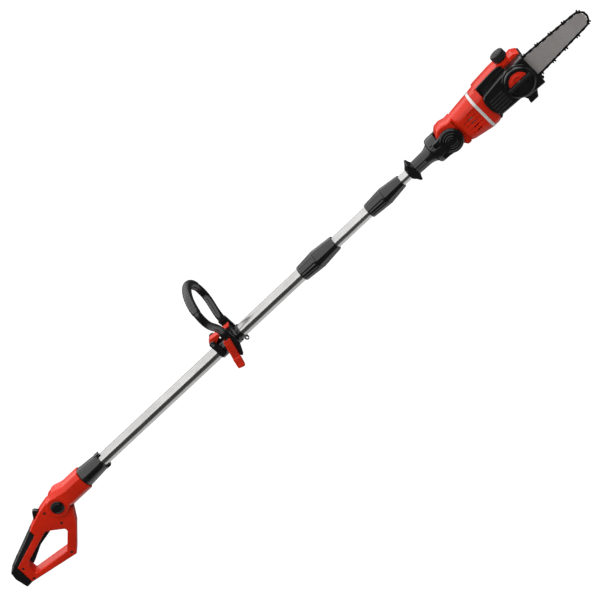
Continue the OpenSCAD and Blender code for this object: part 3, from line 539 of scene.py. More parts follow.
def build_trigger():
    line = rounded([(-243, -43.5, 3), (-289, -53, 30), (-332, -73, 12), (-344, -78, 3), (-349.2, -74, 3),
                    (-346, -63, 3), (-252, -33, 4), (-246, -29, 3), (-237, -31, 4), (-236, -40, 4)], steps=8)
    body = plate("trigger_lever", line, -8, 8, 2.2, 3)
    join(body, disc("trigger_axle", (-243, -36), 3, -11.4, 11.4, 0.4, 32))
    cut(body, disc("spring_room", (-243, -36), 7.6, 4.4, 8.1, steps=32))
    join(body, disc("axle_end", (-243, -36), 3, 3, 11.4, 0.4, 32))
    cut(body, *[block("finger_line", (-300 - 9 * i, -5, -84), (-299 - 9 * i, 5, -57.6 - 4.1 * i), 0.3)
                for i in range(4)])
    place(body, "trigger", black_gloss, ["trigger"])
    line = rounded([(-246, 10.6, 2), (-229, 31, 2), (-223, 30, 2), (-216, 20.6, 2), (-222, 16, 1),
                    (-224, 2, 1),
                    (-232, 0, 1), (-237, 12, 1)])
    button = plate("lock_off_key", line, -6, 6, 1.2, 2)
    cut(button, *[block("rib_line", (-241.6 + 3.4 * i, -7, 13.5 + 4 * i), (-240.6 + 3.4 * i, 7, 24 + 4 * i),
                        0.2)
                  for i in range(4)])
    place(button, "lock_off_button", black_gloss, ["lock_off_button"])


def build_hinge_button():
    profile = [(6, 0.5), (6, 3.9), (-28.6, 3.9), (-28.6, 17.2), (-29.2, 17.9), (-31.6, 17.9), (-32.7, 17.0),
               (-32.9, 14.6), (-32.3, 13.8), (-32.3, 12.6), (-32.9, 12.0), (-32.2, 6.0), (-31.9, 0.5)]
    button = lathe("hinge_push_button", profile, "y", (*HUB, 0), 64)
    place(button, "pivot_button", black_gloss, ["pivot_button"])


def build_socket():
    """The sleeve the pole plugs into, with long low ribs and an ear above and below."""
    def ribbed(x, a):
        band = 1 if -50 < x < -4 else 0
        return 1 + 0.012 * band * max(0, math.cos(a * 20)) ** 3

    profile = [(-59.9, 17.1), (-59.9, 27.4), (-58.8, 28), (-52, 28)]
    profile += [(-50 + 1.5 * i, 27.3 - 0.066 * 1.5 * i) for i in range(31)]
    profile += [(-2, 24.3), (0, 24), (7.6, 23.5), (8.9, 22.6), (8.9, 17.6), (8.4, 17.1)]
    sleeve = lathe("pole_socket", profile, steps=160, shape=ribbed, closed=True)
    ears = [plate("ear", rounded([(1, 20.5), (16, 20.9), (16, 24.4, 3), (1, 24.4)]), -7, 7, 0.6)]
    ears.append(plate("ear_low", rounded([(1, -20.5), (16, -20.9), (16, -24.4, 3), (1, -24.4)]), -7, 7, 0.6))
    join(sleeve, *ears)
    cut(sleeve, *[block("slot", (-44, s * 22 - 9, -1.1), (-8, s * 22 + 9, 1.1), 0.4) for s in (-1, 1)])
    place(sleeve, "lower_pole", black_plastic, ["socket_sleeve"])


# ---- twist locks ----
def build_lock(x, rear, front, tube_r, inner_r, r0, r1, n0, n1, names, nodes, bodies):
    """A fixed half with wide flutes, and a turning nut with twelve flats that narrows forwards."""
    def fluted(t, a):
        if not x + 3 < t < x + rear - 7:
            return 1
        return 1 - 0.055 * max(0, math.cos(a * 11)) ** 0.7

    def faceted(t, a):
        """Twelve flats, which fade out at the rims."""
        if not x + rear + 3 < t < x + rear + front - 3:
            return 1
        turn = (a + math.pi / 12) % (math.pi / 6) - math.pi / 12
        return math.cos(math.pi / 12) / math.cos(turn)

    seam = x + rear - 0.3
    profile = [(x, tube_r + 0.06), (x, r0 - 0.8), (x + 0.9, r0)]
    profile += [(x + 2.9 + (rear - 10) * i / 16, r0 + 0.4 + (r1 - r0) * (0.06 + 0.8 * i / 16))
                for i in range(17)]
    profile += [(seam - 6, r1 - 0.3), (seam - 5, r1 + 0.2), (seam - 1, r1 + 0.2), (seam, r1 - 0.5),
                (seam, inner_r + 2.2), (seam + 18, inner_r + 2.2), (seam + 18, inner_r + 0.3),
                (x + 16, inner_r + 0.3),
                (x + 16, tube_r + 0.06)]
    body = lathe(names[0], profile, steps=176, shape=fluted, closed=True)
    place(body, bodies[0], black_plastic, [nodes[0]])
    s = x + rear
    profile = [(s, inner_r + 2.5), (s, n0 - 0.9), (s + 0.9, n0), (s + 3.9, n0)]
    profile += [(s + 4.1 + (front - 8.2) * i / 4, n0 + (n1 + 0.5 - n0) * (0.04 + 0.93 * i / 4))
                for i in range(5)]
    profile += [(s + front - 1, n1 + 0.1), (s + front, n1 - 0.9), (s + front, inner_r + 0.3),
                (s + front - 8, inner_r + 0.3), (s + 21, inner_r + 4.6), (s + 21, inner_r + 2.5)]
    nut = lathe(names[1], profile, steps=192, shape=faceted, closed=True)
    place(nut, bodies[1], black_plastic, [nodes[1]])


# ---- loop handle and its clamp ----
CLAMP_X = 474
BOLT = (CLAMP_X + 17, 22)
LEVER_PIN = (CLAMP_X - 22, 33)
ARM_Y = 37
RAKE = math.radians(4)


def bezier(p, t):
    u = 1 - t
    return [u ** 3 * a + 3 * u * u * t * b + 3 * u * t * t * c + t ** 3 * d for a, b, c, d in zip(*p)]


def loop_line(steps):
    """The middle line of the loop (y, z) from the near fork arm round to the far one."""
    leg = [(-ARM_Y, 40), (-ARM_Y - 2, 75), (-84, 82), (-84, 118)]
    top = [(-84, 118), (-84, 158), (-40, 175), (0, 175)]
    near = [bezier(leg, i / steps) for i in range(steps)] + [bezier(top, i / steps) for i in range(steps)]
    return near + [[0, 175]] + [[-y, z] for y, z in reversed(near)]


def sweep(name, line, radius, wide=1.0, sides=28):
    """A bar along a line in the loop's plane, leant by the rake; radius(t, a) gives its size."""
    rings = []
    n = len(line)
    for i, (y, z) in enumerate(line):
        a, b = line[max(i - 1, 0)], line[min(i + 1, n - 1)]
        dy, dz = b[0] - a[0], b[1] - a[1]
        size = math.hypot(dy, dz)
        ny, nz = -dz / size, dy / size
        ring = []
        for j in range(sides):
            ang = 2 * math.pi * j / sides
            r = radius(i / (n - 1), ang)
            px, py, pz = r * wide * math.sin(ang), y + r * math.cos(ang) * ny, z + r * math.cos(ang) * nz - 25
            ring.append((CLAMP_X + 23 + px * math.cos(RAKE) + pz * math.sin(RAKE), py,
                         25 - px * math.sin(RAKE) + pz * math.cos(RAKE)))
        rings.append(ring)
    return loft(name, rings)


def build_loop():
    line = loop_line(24)
    frame_bar = sweep("loop_bar", line, lambda t, a: 10)
    arm_line = rounded([(CLAMP_X + 12, 47, 4), (CLAMP_X + 36, 47, 4), (CLAMP_X + 35, 10, 8),
                        (CLAMP_X + 31, -10, 10),
                        (CLAMP_X + 18, -33.6, 4), (CLAMP_X + 12.4, -35.6, 3), (CLAMP_X + 10, -30, 3),
                        (CLAMP_X + 11, 10, 8)])
    arms = [plate("arm", arm_line, s * ARM_Y - 5, s * ARM_Y + 5, 1.8, 3) for s in (-1, 1)]
    join(frame_bar, *arms)
    cut(frame_bar, disc("bolt_hole", BOLT, 3.06, -60, 60, steps=32))
    place(frame_bar, "loop_handle", black_plastic, ["loop_frame"])
    grip_line = line[29:68]

    def grip_radius(t, a):
        ends = min(1, t / 0.03, (1 - t) / 0.03)
        wave = 0.5 + 0.5 * math.cos(2 * math.pi * t * 21)
        on = 1 if 0.06 < t < 0.94 else 0
        return 10.3 + 1.1 * math.sqrt(max(0, ends)) + 0.55 * on * wave ** 2
    fine = []
    for i in range(len(grip_line) - 1):
        for k in range(5):
            fine.append([grip_line[i][c] + (grip_line[i + 1][c] - grip_line[i][c]) * k / 5 for c in (0, 1)])
    fine.append(grip_line[-1])
    grip = sweep("loop_soft_grip", fine, grip_radius)
    place(grip, "loop_handle", soft_rubber, ["loop_grip"])


def put(thing, spot, degrees):
    """Moves a piece drawn round the local origin to its spot, turned about Y."""
    turn = Matrix.Rotation(math.radians(degrees), 4, "Y")
    thing.data.transform(Matrix.Translation(at(*spot)) @ turn @ Matrix.Translation(-at(0, 0, 0)))
    return thing


def build_loop_lever():
    line = rounded([(-9.5, 4.2, 3), (9.5, 4.2, 3), (9.6, -44, 8), (11, -56, 8), (10.3, -80, 5),
                    (-9.3, -80, 5),
                    (-10.5, -56, 8), (-9.6, -44, 8)])
    body = plate("fork_lever", line, -4.6, 4.6, 1.6, 3)
    join(body, *[block("rib", (i * 5.5 - 1.3, -6.3, -42), (i * 5.5 + 1.3, -3, -5), 0.9) for i in (-1, 0, 1)],
         plate("paddle", rounded([(-9, -49, 3), (9, -49, 3), (9.6, -78.6, 4), (-8.8, -78.6, 4)]), -6.6, -3,
               1.4, 2))
    cut(body, block("bolt_room", (-3.4, -3.9, -3.9), (3.4, 9, 9), 0),
        disc("dimple", (0.4, -64), 7, -9, -5.9, 0.5, 32))
    put(body, (BOLT[0], -ARM_Y - 10, BOLT[1]), 18.4)
    place(body, "loop_lever", red_lever, ["loop_lever"])


def build_clamp():
    ring = [(-33, 17.1), (-33, 20.7), (-32, 21.5), (34, 21.5), (35, 20.7), (35, 17.1)]
    profile = [(CLAMP_X + t, r) for t, r in ring]
    upper = lathe("clamp_jaw_upper", profile, closed=True)
    cut(upper, block("lower_half", (400, -40, -60), (560, 40, 0.3), 0))
    saddle = block("saddle", (CLAMP_X + 12, -31, 8.3), (CLAMP_X + 32, 31, 31), 2.2, 3)
    cut(saddle, lathe("tube_room", [(CLAMP_X, 18.5), (CLAMP_X + 50, 18.5)]))
    join(upper, saddle)
    band = [(CLAMP_X + t, r) for t, r in ((-31.5, 19), (-31.5, 22.0), (-27.5, 22.0), (-27.5, 19))]
    join(upper, lathe("band", band, closed=True))
    cut(upper, block("lower_half", (400, -40, -60), (560, 40, 0.3), 0),
        disc("bolt_hole", BOLT, 3.06, -50, 50, steps=32))
    place(upper, "loop_clamp", black_plastic, ["clamp_upper"])
    lower = lathe("clamp_jaw_lower", profile, closed=True)
    cut(lower, block("upper_half", (400, -40, -0.3), (560, 40, 60), 0))
    lug_line = rounded([(LEVER_PIN[0] - 8, -9, 2), (LEVER_PIN[0] + 8, -9, 2), (LEVER_PIN[0] + 8, 41, 7.9),
                        (LEVER_PIN[0] - 8, 41, 7.9)], steps=8)
    for s in (-1, 1):
        y = sorted((s * 21.9, s * 26.9))
        y0, y1 = sorted((s * 18.6, s * 22.6))
        join(lower, plate("lug", lug_line, *y, 1.0),
             block("foot", (LEVER_PIN[0] - 8, y0, -9), (LEVER_PIN[0] + 8, y1, -4), 0))
    cut(lower, disc("pin_hole", LEVER_PIN, 2.55, -50, 50, steps=32))
    place(lower, "loop_clamp", black_plastic, ["clamp_lower"])
    line = rounded([(CLAMP_X - 32, 30, 3), (CLAMP_X - 31, 38, 4), (CLAMP_X - 22, 43.4, 8),
                    (CLAMP_X - 8, 41.5, 8),
                    (CLAMP_X + 12, 38.5, 8), (CLAMP_X + 38, 37.5, 2), (CLAMP_X + 38, 33.2, 1.5),
                    (CLAMP_X + 8, 33.2, 6),
                    (CLAMP_X - 9, 27.5, 6), (CLAMP_X - 18, 23.8, 4), (CLAMP_X - 26, 24, 4)], steps=6)
    lever = plate("cam_lever", line, -11, 11, 1.4, 3)
    cut(lever, disc("pin_hole", LEVER_PIN, 2.56, -20, 20, steps=32),
        *[block("grip_line", (CLAMP_X + 24 + 4 * i, -8, 36.8), (CLAMP_X + 25.4 + 4 * i, 8, 40), 0.4)
          for i in range(3)],
        *[block("grip_line", (CLAMP_X - 29 + 4 * i, -8, 39.8 + 1.2 * i), (CLAMP_X - 27.6 + 4 * i, 8, 46), 0.4)
          for i in range(2)])
    place(lever, "clamp_lever", red_lever, ["clamp_lever"])
    eye_x = CLAMP_X + 43
    band = lathe("strap_band", [(eye_x - 6, 17.06), (eye_x - 6, 19.4), (eye_x - 5.2, 20), (eye_x + 5.2, 20),
                                (eye_x + 6, 19.4), (eye_x + 6, 17.06)], closed=True)
    eye = rounded([(eye_x - 6, -19, 0), (eye_x - 6, -26, 5.5), (eye_x - 2, -30.5, 4), (eye_x + 2, -30.5, 4),
                   (eye_x + 6, -26, 5.5), (eye_x + 6, -19, 0)])
    join(band, plate("eye", eye, -2.5, 2.5, 0.7))
    cut(band, disc("eye_hole", (eye_x, -24.5), 3.5, -9, 9, steps=48))
    place(band, "lower_pole", black_plastic, ["strap_ring"])


# ---- neck and saw head ----
PIVOT = (1228, 0)
CAP_AT = (1442, -8)


def build_neck():
    def ridged(x, a):
        return 1 + (0.05 * max(0, math.cos(a * 8)) ** 4 if 1098 < x < 1152 else 0)

    profile = [(1096.2, 13.1), (1096.2, 15.6), (1097.6, 16.6), (1099, 16.9)]
    profile += [(1100 + 2 * i, 17 + 0.06 * i) for i in range(27)]
    profile += [(1160, 19.8), (1168, 22.8), (1172.5, 25.4), (1175, 31.4), (1178.5, 34), (1184, 34.9),
                (1201, 34.9),
                (1203, 34.0), (1203, 24), (1149, 12), (1149, 13.1)]
    body = lathe("neck", profile, steps=144, shape=ridged, closed=True)
    fin = lathe("fin", [(1097, 13.6), (1097, 16.8), (1103, 22.5), (1108.5, 30.6), (1110, 31.9), (1112, 31.9),
                        (1112.8, 30), (1115, 24), (1119, 17.6), (1119, 13.6)], steps=96, closed=True)
    cut(fin, *[block("side", (1080, min(s * 19, s * 60), -60), (1130, max(s * 19, s * 60), 60), 0)
               for s in (-1, 1)])
    soften(fin, 0.6, 2, 40)
    join(body, fin)
    arm = [(1188, -24), (1188, 24), (1204, 25.6), (1214, 27.4)] + arc(*PIVOT, 31, 108, -108, 48) \
        + [(1214, -27.4), (1204, -25.6)]
    for s in (-1, 1):
        y0, y1 = sorted((s * 24.7, s * 34))
        join(body, plate("fork_arm", arm, y0, y1, 2.4, 3))
        web = plate("web", rounded([(1184, -12, 2), (1184, 12, 2), (1206, 9, 5), (1206, -9, 5)]),
                    *sorted((s * 33, s * 35.5)), 0.8)
        join(body, web)
    cut(body, disc("axle_hole", PIVOT, 8.1, -60, 60, steps=48), disc("button_room", PIVOT, 15.3, -60, -29.3),
        *[block("flute", (1180, s * 30 - 7, z), (1199, s * 30 + 7, z + 2.2), 0.5)
          for s in (-1, 1) for z in (-24, -18, 15.8, 21.8)])
    near, far = halves(body, "neck_shell_near", "neck_shell_far")
    place(near, "upper_pole", black_plastic, ["neck_left"])
    place(far, "upper_pole", black_plastic, ["neck_right"])
    rim = lathe("tilt_bezel_near", [(-33.8, 17), (-36.0, 17), (-36.5, 17.6), (-36.5, 20.2), (-35.4, 21.2),
                                    (-35.4, 23.4), (-36.5, 24.4), (-36.5, 27.4), (-35.6, 28.6),
                                    (-33.8, 28.6)],
                "y", (*PIVOT, 0), 96, closed=True)
    place(rim, "upper_pole", black_gloss)
    rim = lathe("tilt_bezel_far", [(33.8, 17), (36.4, 17), (36.9, 17.6), (36.9, 24.8), (36.2, 26),
                                   (33.8, 26)],
                "y", (*PIVOT, 0), 96, closed=True)
    place(rim, "upper_pole", black_gloss)
    button = lathe("tilt_push_button", [(-8, 0.4), (-8, 3.9), (-33.5, 3.9), (-33.5, 14.6), (-34.2, 15),
                                        (-37, 15),
                                        (-37.9, 14), (-37.9, 11.4), (-37.2, 10.8), (-37.2, 9), (-37.9, 8.4),
                                        (-37.3, 3), (-37.2, 0.4)], "y", (*PIVOT, 0), 64)
    place(button, "tilt_button", black_gloss, ["tilt_button"])


def shell_section(x, w, top, bottom, crease):
    """Half of the motor shell's section, from the top round to the bottom, mirrored to the other side."""
    side = [(0.0, top), (0.42 * w, top - 0.6), (0.56 * w, top - 2.2), (0.86 * w, crease + 9.6),
            (0.90 * w, crease + 8),
            (0.985 * w, crease + 0.8), (w, crease - 1.5), (w, -0.25 * bottom), (0.975 * w, -0.52 * bottom),
            (0.90 * w, -0.76 * bottom), (0.74 * w, -0.91 * bottom), (0.45 * w, -0.985 * bottom), (0, -bottom)]
    return [(x, y, z) for y, z in side] + [(x, -y, z) for y, z in side[-2:0:-1]]


VENTS, VENT_STEP = 4, 11.3


def build_motor():
    tongue_line = rounded([(1203.8, 16, 2), (1207, 29.5, 6), (1217, 38.9, 8), (1232, 41.3, 10),
                           (1248, 36.8, 4),
                           (1262, 38, 2), (1262, -40, 2), (1251, -40, 5), (1240, -22, 6)], steps=5) \
        + arc(*PIVOT, 24, -90, -188, 16)
    body = plate("motor", tongue_line, -24.2, 24.2, 4.2, 4)
    wide = loft("wide", [shell_section(1248, 22.6, 36.6, 38.0, 20), shell_section(1256, 24.0, 37.6, 40.0,
                                                                                  20.5),
                         shell_section(1261, 24.1, 38.2, 40.4, 21), shell_section(1264, 29, 38.5, 40.8, 21.4),
                         shell_section(1269, 34.5, 39.1, 42.0, 22), shell_section(1275, 36.8, 39.8, 43.2,
                                                                                  22.6),
                         shell_section(1298, 37.6, 42.5, 48.0, 24), shell_section(1320.6, 37.9, 45.2, 52.6,
                                                                                  25),
                         shell_section(1321.9, 37.4, 44.7, 52.1, 25)])
    join(body, wide)
    panel = rounded([(1264, 7, 2), (1283, 7, 3), (1297, 24.4, 3), (1326, 24.4, 1), (1326, -33, 1),
                     (1276, -32, 3),
                     (1264, -28, 1)])
    for s in (-1, 1):
        y0, y1 = sorted((s * 36.3, s * 45))
        grooves = [plate("groove", rounded([(1277, z - 2.2, 2), (1277, z + 2.2, 2), (1317, z + 2.2, 2),
                                            (1317, z - 2.2, 2)]), *sorted((s * 35, s * 45)), 0)
                   for z in (9 - VENT_STEP * i for i in range(VENTS))]
        slots = [plate("vent", rounded([(1290, z - 2, 1.9), (1290, z + 2, 1.9), (1304, z + 2, 1.9),
                                        (1304, z - 2, 1.9)]),
                       *sorted((s * 22, s * 45)), 0) for z in (9 - VENT_STEP * i for i in range(VENTS))]
        cut(body, plate("panel_room", panel, y0, y1, 0.0), *grooves, *slots)
    cut(body, lathe("motor_room", [(1273, 33.6), (1323, 33.6)], steps=64),
        lathe("shaft_room", [(1240, 11), (1274, 11)]),
        disc("axle_hole", PIVOT, 8.06, -60, 60, steps=48))
    near, far = halves(body, "motor_shell_near", "motor_shell_far")
    place(near, "saw_head", red_shell, ["motor_left"], 28)
    place(far, "saw_head", red_shell, ["motor_right"], 28)
    ring = loft("trim_band", [shell_section(1322.1, 37.8, 45.8, 53.1, 25.4),
                              shell_section(1322.9, 38.2, 46.4, 53.7, 25.6),
                              shell_section(1328.6, 38.2, 46.4, 53.7, 25.6),
                              shell_section(1329.4, 37.8, 45.8, 53.1, 25.4)])
    cut(ring, lathe("fan_room", [(1320, 34), (1332, 34)], steps=64))
    place(ring, "saw_head", silver_trim, ["trim_ring"], 28)


def build_tank():
    """The red front shell: a collar in front of the trim ring, running forwards into the oil tank."""
    collar = loft("collar", [shell_section(1329.8, 37.2, 45.4, 52.0, 25),
                             shell_section(1330.8, 37.8, 46.2, 52.6, 25.4),
                             shell_section(1340, 37.8, 47.8, 52.7, 26.4),
                             shell_section(1347, 37.5, 48.8, 50.4, 27.2),
                             shell_section(1351, 36.0, 49.4, 45, 27.6)])
    cut(collar, lathe("fan_room", [(1329, 34), (1345, 34)], steps=64),
        plate("cover_room", rounded([(1356, -33, 4), (1349.5, -24, 6), (1344.6, -8, 8), (1344.6, 10, 8),
                                     (1348.6, 24, 4),
                                     (1357, 30, 2), (1380, 34, 2), (1380, -36, 2)]), -60, -22, 0))

    place(collar, "saw_head", red_shell, ["oil_tank"], 22)
    top_line = rounded([(1346, 38.8, 1), (1346, 48.9, 1), (1354, 50.6, 12), (1404, 54.7, 30),
                        (1423, 54.7, 12),
                        (1455, 46.6, 14), (1468, 48.8, 6), (1480, 41, 4), (1481.8, 38.8, 1)], steps=6)
    tank = loft("tank", [[(u, y, w) for u, w in top_line] for y in (-17.9, 25.8)])
    soften(tank, 1.4, 3, 50)
    x, y = CAP_AT
    filler = lathe("filler", [(44.6, 9.05), (44.6, 14), (54.6, 14), (54.6, 9.05)], "z", (x, y, 0), 64,
                   closed=True)
    cut(tank, lathe("filler_bore", [(42.4, 13.9), (60, 13.9)], "z", (x, y, 0), 64))
    place(tank, "saw_head", red_shell, (), 22)
    place(filler, "saw_head", red_shell, (), 22)

    def knurled(t, a):
        return 1 + (0.022 * max(-0.4, math.cos(a * 22)) if 59.6 < t < 73.5 else 0)
    profile = [(46.2, 1), (46.2, 8.9), (55.4, 8.9), (55.4, 14.8), (56.4, 16), (59.4, 17.8)]
    profile += [(59.8 + 13.5 * i / 6, 18 - 0.3 * i / 6) for i in range(7)]
    profile += [(75, 17.4), (76.1, 16.2), (76.4, 14.4), (76.0, 13.4), (75.8, 1)]
    cap = lathe("oil_filler_cap", profile, "z", (x, y, 0), 176, knurled)
    place(cap, "oil_cap", cap_plastic, ["oil_cap"])


def build_gearbox():
    line = rounded([(1347, -49, 2), (1352, -49.8, 2), (1358, -44.5, 3), (1418, -47, 4), (1424, -60, 3),
                    (1421.2, -72.9, 2.5), (1444.8, -72.9, 2.5), (1453, -60, 4), (1460, -52, 4),
                    (1480.8, -50, 3),
                    (1480.8, 24, 3), (1484.8, 32, 2), (1476, 38.4, 3), (1347, 38.4, 1)])
    body = plate("gearbox", line, -22.5, 37.8, 4.5, 4)
    cut(body, lathe("fan_room", [(1340, 33), (1346.3, 33)], steps=64),
        lathe("pinion_room", [(1340, 9.5), (1398, 9.5)]),
        disc("crown_room", (1398, 0), 36.5, -13.4, 7.9), disc("seat", (1398, 0), 13.1, -20, 14.2),
        disc("shaft_room", (1398, 0), 7, -23, -13), disc("stud_hole", (1438, 0), 4.06, -30, -6, steps=32),
        *[block("fin_gap", (1358, 30, z), (1470, 45, z + 2.4), 0.4) for z in (-34, -26, -18, -10, -2, 6, 14)])
    wall = rounded([(1352, 34, 0), (1352, 49, 2), (1356, 50.6, 6), (1404, 53.9, 20), (1420, 53.9, 5),
                    (1430, 50, 2),
                    (1431, 34, 0)])
    join(body, plate("tank_wall", wall, -22.4, -18.2, 0.8, 2))
    place(body, "saw_head", black_plastic, ["gear_housing"])
    spikes = rounded([(1481.2, -47.8), (1484, -46.8, 1), (1487, -43, 0.4), (1484, -39, 1), (1487.4, -35, 0.4),
                      (1484, -31, 1), (1487, -27, 0.4), (1484, -24.4, 1), (1481.2, -24.2)])
    place(plate("branch_spikes", spikes, -22.3, -19.1, 0.4, 2), "saw_head", black_plastic,
          ["spike_bumper"])


STUD = (1438, 0)
MOON_R = 25.5


def build_cover():
    line = rounded([(1357, -33, 4), (1350, -24, 6), (1345, -8, 8), (1345, 10, 8), (1349, 24, 5),
                    (1357, 30.4, 4),
                    (1416, 38, 6), (1480.8, 38.9, 3), (1480.8, -48.6, 3), (1432, -45.8, 6), (1414, -36.5, 8)])
    body = plate("cover", line, -46, -22.7, 3.2, 4)
    boss = lathe("boss", [(-49.9, 38.8), (-49.9, 40), (-49.2, 40.8), (-44, 41.6), (-44, 1), (-49, 1),
                          (-49, 38.4)],
                 "y", (*STUD, 0), 112)
    cut(boss, block("right_of_cover", (1480.7, -60, -60), (1520, 0, 60), 0))
    join(body, boss)
    ribs = []
    for i in range(5):
        start, z = 1351.5 + abs(i - 1.6) * 2.2, -26 + 8.4 * i
        ribs.append(plate("rib", rounded([(start, z, 1), (start, z + 3, 1), (1396, z + 3.4, 1),
                                          (1396, z + 0.4, 1)]),
                          -47.2, -44, 0.7))
    join(body, *ribs)
    hollow = [(1369, -30), (1369, 30), (1420, 35), (1500, 35), (1500, -40), (1430, -38), (1415, -33)]
    cut(body, plate("chain_room", hollow, -41, -20, 0), disc("stud_room", STUD, 4.4, -60, -20, steps=32),
        disc("knob_room", STUD, 9.7, -60, -47.4, steps=48))
    place(body, "saw_head", black_plastic, ["sprocket_cover"])


def build_knob():
    """The bar knob: a rimmed disc with a cross grip, a red half and three finger grooves in the other."""
    rim = [(-50.4, 4.1), (-50.4, 36.6), (-51.2, 37.8), (-55.5, 37.9), (-58.6, 36.9), (-59.7, 35.2),
           (-59.4, 33.4),
           (-57.2, 32.2), (-55.0, 32.0), (-55.0, 4.1)]
    body = lathe("knob", rim, "y", (*STUD, 0), 112, closed=True)
    hub = lathe("hub", [(-47.9, 4.1), (-47.9, 9), (-56, 9), (-56, 4.1)], "y", (*STUD, 0), 48, closed=True)
    bar = plate("cross_grip", rounded([(1438 - 33.4, -4.6, 2), (1438 - 33.4, 2.6, 2), (1438 + 33.4, 2.6, 2),
                                       (1438 + 33.4, -4.6, 2)]), -59.9, -54, 1.6, 3)
    join(body, hub, bar)
    for r in (12.5, 18.5, 24.5):
        profile = [(-54.5, r), (-57.3, r + 0.4), (-57.3, r + 2.2), (-54.5, r + 2.6)]
        ridge = lathe("finger_ridge", profile, "y", (*STUD, 0), 96, closed=True)
        cut(ridge, block("upper", (1390, -70, -3), (1490, -40, 60), 0))
        join(body, ridge)
    cut(body, disc("stud_bore", STUD, 4.1, -55.3, -40, steps=32))
    place(body, "cover_knob", black_gloss, ["cover_knob"])
    moon = rounded([(STUD[0] - 24.4, 4.4, 2), *arc(*STUD, MOON_R, 168, 12, 26), (STUD[0] + 24.4, 4.4, 2)])
    insert = plate("knob_red_half", moon, -56.4, -54.6, 0.6, 2)
    fin = plate("fin", rounded([(1422, 6, 2), (1423, 15, 5), (1432, 20.6, 5), (1444, 20.6, 5),
                                (1453, 15, 5), (1454, 6, 2),
                                (1448.5, 6, 1), (1447.5, 12, 4), (1441.4, 15.2, 3), (1434.6, 15.2, 3),
                                (1428.5, 12, 4),
                                (1427.5, 6, 1)]), -59.2, -56, 1.1, 3)
    join(insert, fin)
    place(insert, "cover_knob", red_lever)


for build in (build_yoke, build_handle, build_grip, build_trigger, build_hinge_button, build_socket,
              build_loop,
              build_loop_lever, build_clamp, build_neck, build_motor, build_tank, build_gearbox, build_cover,
              build_knob):
    build()
build_lock(734, 54, 62, 17, 15, 20.4, 24.8, 25.6, 19.5, ("lower_lock_sleeve", "lower_lock_grip"),
           ("lower_lock_body", "lower_lock_nut"), ("lower_pole", "lower_lock_nut"))
build_lock(963, 54, 55, 15, 13, 18.8, 22.9, 23.6, 16.8, ("upper_lock_sleeve", "upper_lock_grip"),
           ("upper_lock_body", "upper_lock_nut"), ("middle_pole", "upper_lock_nut"))

# ---- floor, light and camera ----
floor_nodes = Nodes("pale_floor")
floor_nodes.shader.inputs["Base Color"].default_value = (0.05, 0.05, 0.05, 1)
floor_nodes.shader.inputs["Roughness"].default_value = 0.9
floor_nodes.shader.inputs["Specular IOR Level"].default_value = 0.0
floor_nodes.shader.inputs["Emission Color"].default_value = (1, 1, 1, 1)
floor_nodes.shader.inputs["Emission Strength"].default_value = 1.0
FLOOR_DROP, FLOOR_SIZE = 0.35, 60.0
floor_mesh = bpy.data.meshes.new("floor")
low = cad_bounds[0][2] - FLOOR_DROP
floor_mesh.from_pydata([(-FLOOR_SIZE, -FLOOR_SIZE, low), (FLOOR_SIZE, -FLOOR_SIZE, low),
                        (FLOOR_SIZE, FLOOR_SIZE, low),
                        (-FLOOR_SIZE, FLOOR_SIZE, low)], [], [(0, 1, 2, 3)])
floor_mesh.materials.append(floor_nodes.material)
floor = add_object("floor", floor_mesh)
floor.visible_diffuse = floor.visible_glossy = floor.visible_shadow = False

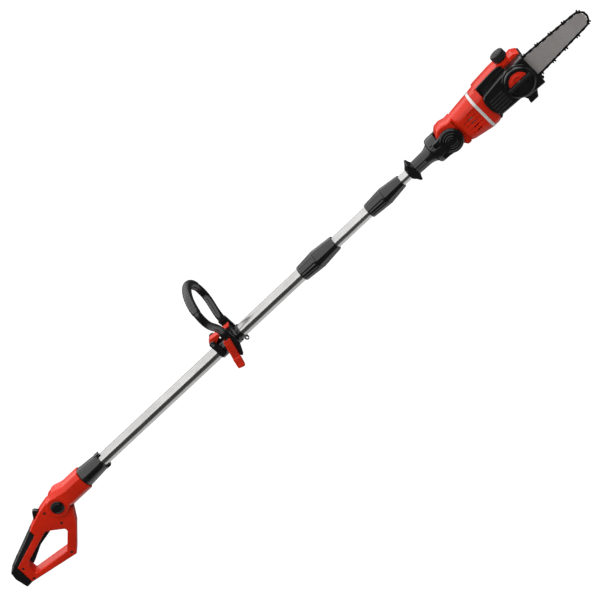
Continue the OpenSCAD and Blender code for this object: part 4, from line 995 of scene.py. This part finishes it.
# The studio: a white ceiling, a dark band from a little above the horizon down, and a pale floor below it
world = bpy.data.worlds.new("studio")
world.use_nodes = True
sky = world.node_tree
direction = sky.nodes.new("ShaderNodeTexCoord").outputs["Generated"]
split = sky.nodes.new("ShaderNodeSeparateXYZ")
ramp = sky.nodes.new("ShaderNodeValToRGB")
height = sky.nodes.new("ShaderNodeMapRange")
height.inputs["From Min"].default_value = -1.0
sky.links.new(direction, split.inputs["Vector"])
sky.links.new(split.outputs["Z"], height.inputs["Value"])
sky.links.new(height.outputs["Result"], ramp.inputs["Fac"])
SKY = ((0.0, 0.36), (0.10, 0.34), (0.15, 0.035), (0.60, 0.024), (0.66, 0.034), (0.69, 0.88), (0.76, 0.60),
       (1.0, 0.56))
for k, (spot, grey) in enumerate(SKY):
    stop = ramp.color_ramp.elements[k] if k < 2 else ramp.color_ramp.elements.new(spot)
    stop.position = spot
    stop.color = (grey, grey, grey, 1)
sky.links.new(ramp.outputs["Color"], sky.nodes["Background"].inputs["Color"])
sky.nodes["Background"].inputs["Strength"].default_value = 2.5
scene.world = world
scene.view_settings.view_transform = "Standard"


def area_light(name, spot, aim, size, power):
    lamp = bpy.data.lights.new(name, "AREA")
    lamp.shape = "RECTANGLE"
    lamp.size, lamp.size_y = size
    lamp.energy = power
    thing = bpy.data.objects.new(name, lamp)
    scene.collection.objects.link(thing)
    thing.location = spot
    thing.rotation_euler = (Vector(aim) - Vector(spot)).to_track_quat("-Z", "Y").to_euler()
    thing.visible_glossy = False


AIM = (0.16, 0, 0)
area_light("key_above", (-0.3, -0.5, 2.6), AIM, (3.4, 1.4), 9)
area_light("fill_front", (-1.4, -3.4, 1.6), AIM, (1.4, 1.0), 1.5)

# The photograph looks from the near side, a little from the front and above, and is rolled on its side.
TURN, RAISE, ROLL = math.radians(15.7), math.radians(20.8), math.radians(-48.557)
DISTANCE, TARGET = 3.834, Vector((0.16385, 0, -0.02278))
LENS_MM, SENSOR_MM = 92.7, 36
back = Vector((math.sin(TURN) * math.cos(RAISE), -math.cos(TURN) * math.cos(RAISE), math.sin(RAISE)))
right = Vector((math.cos(TURN), math.sin(TURN), 0))
up = back.cross(right)
right, up = right * math.cos(ROLL) + up * math.sin(ROLL), up * math.cos(ROLL) - right * math.sin(ROLL)
lens = bpy.data.cameras.new("camera")
lens.lens = LENS_MM
lens.sensor_width = SENSOR_MM
camera = bpy.data.objects.new("camera", lens)
camera.matrix_world = Matrix.Translation(TARGET + back * DISTANCE) @ Matrix((right, up,
                                                                             back)).transposed().to_4x4()
scene.collection.objects.link(camera)
scene.camera = camera
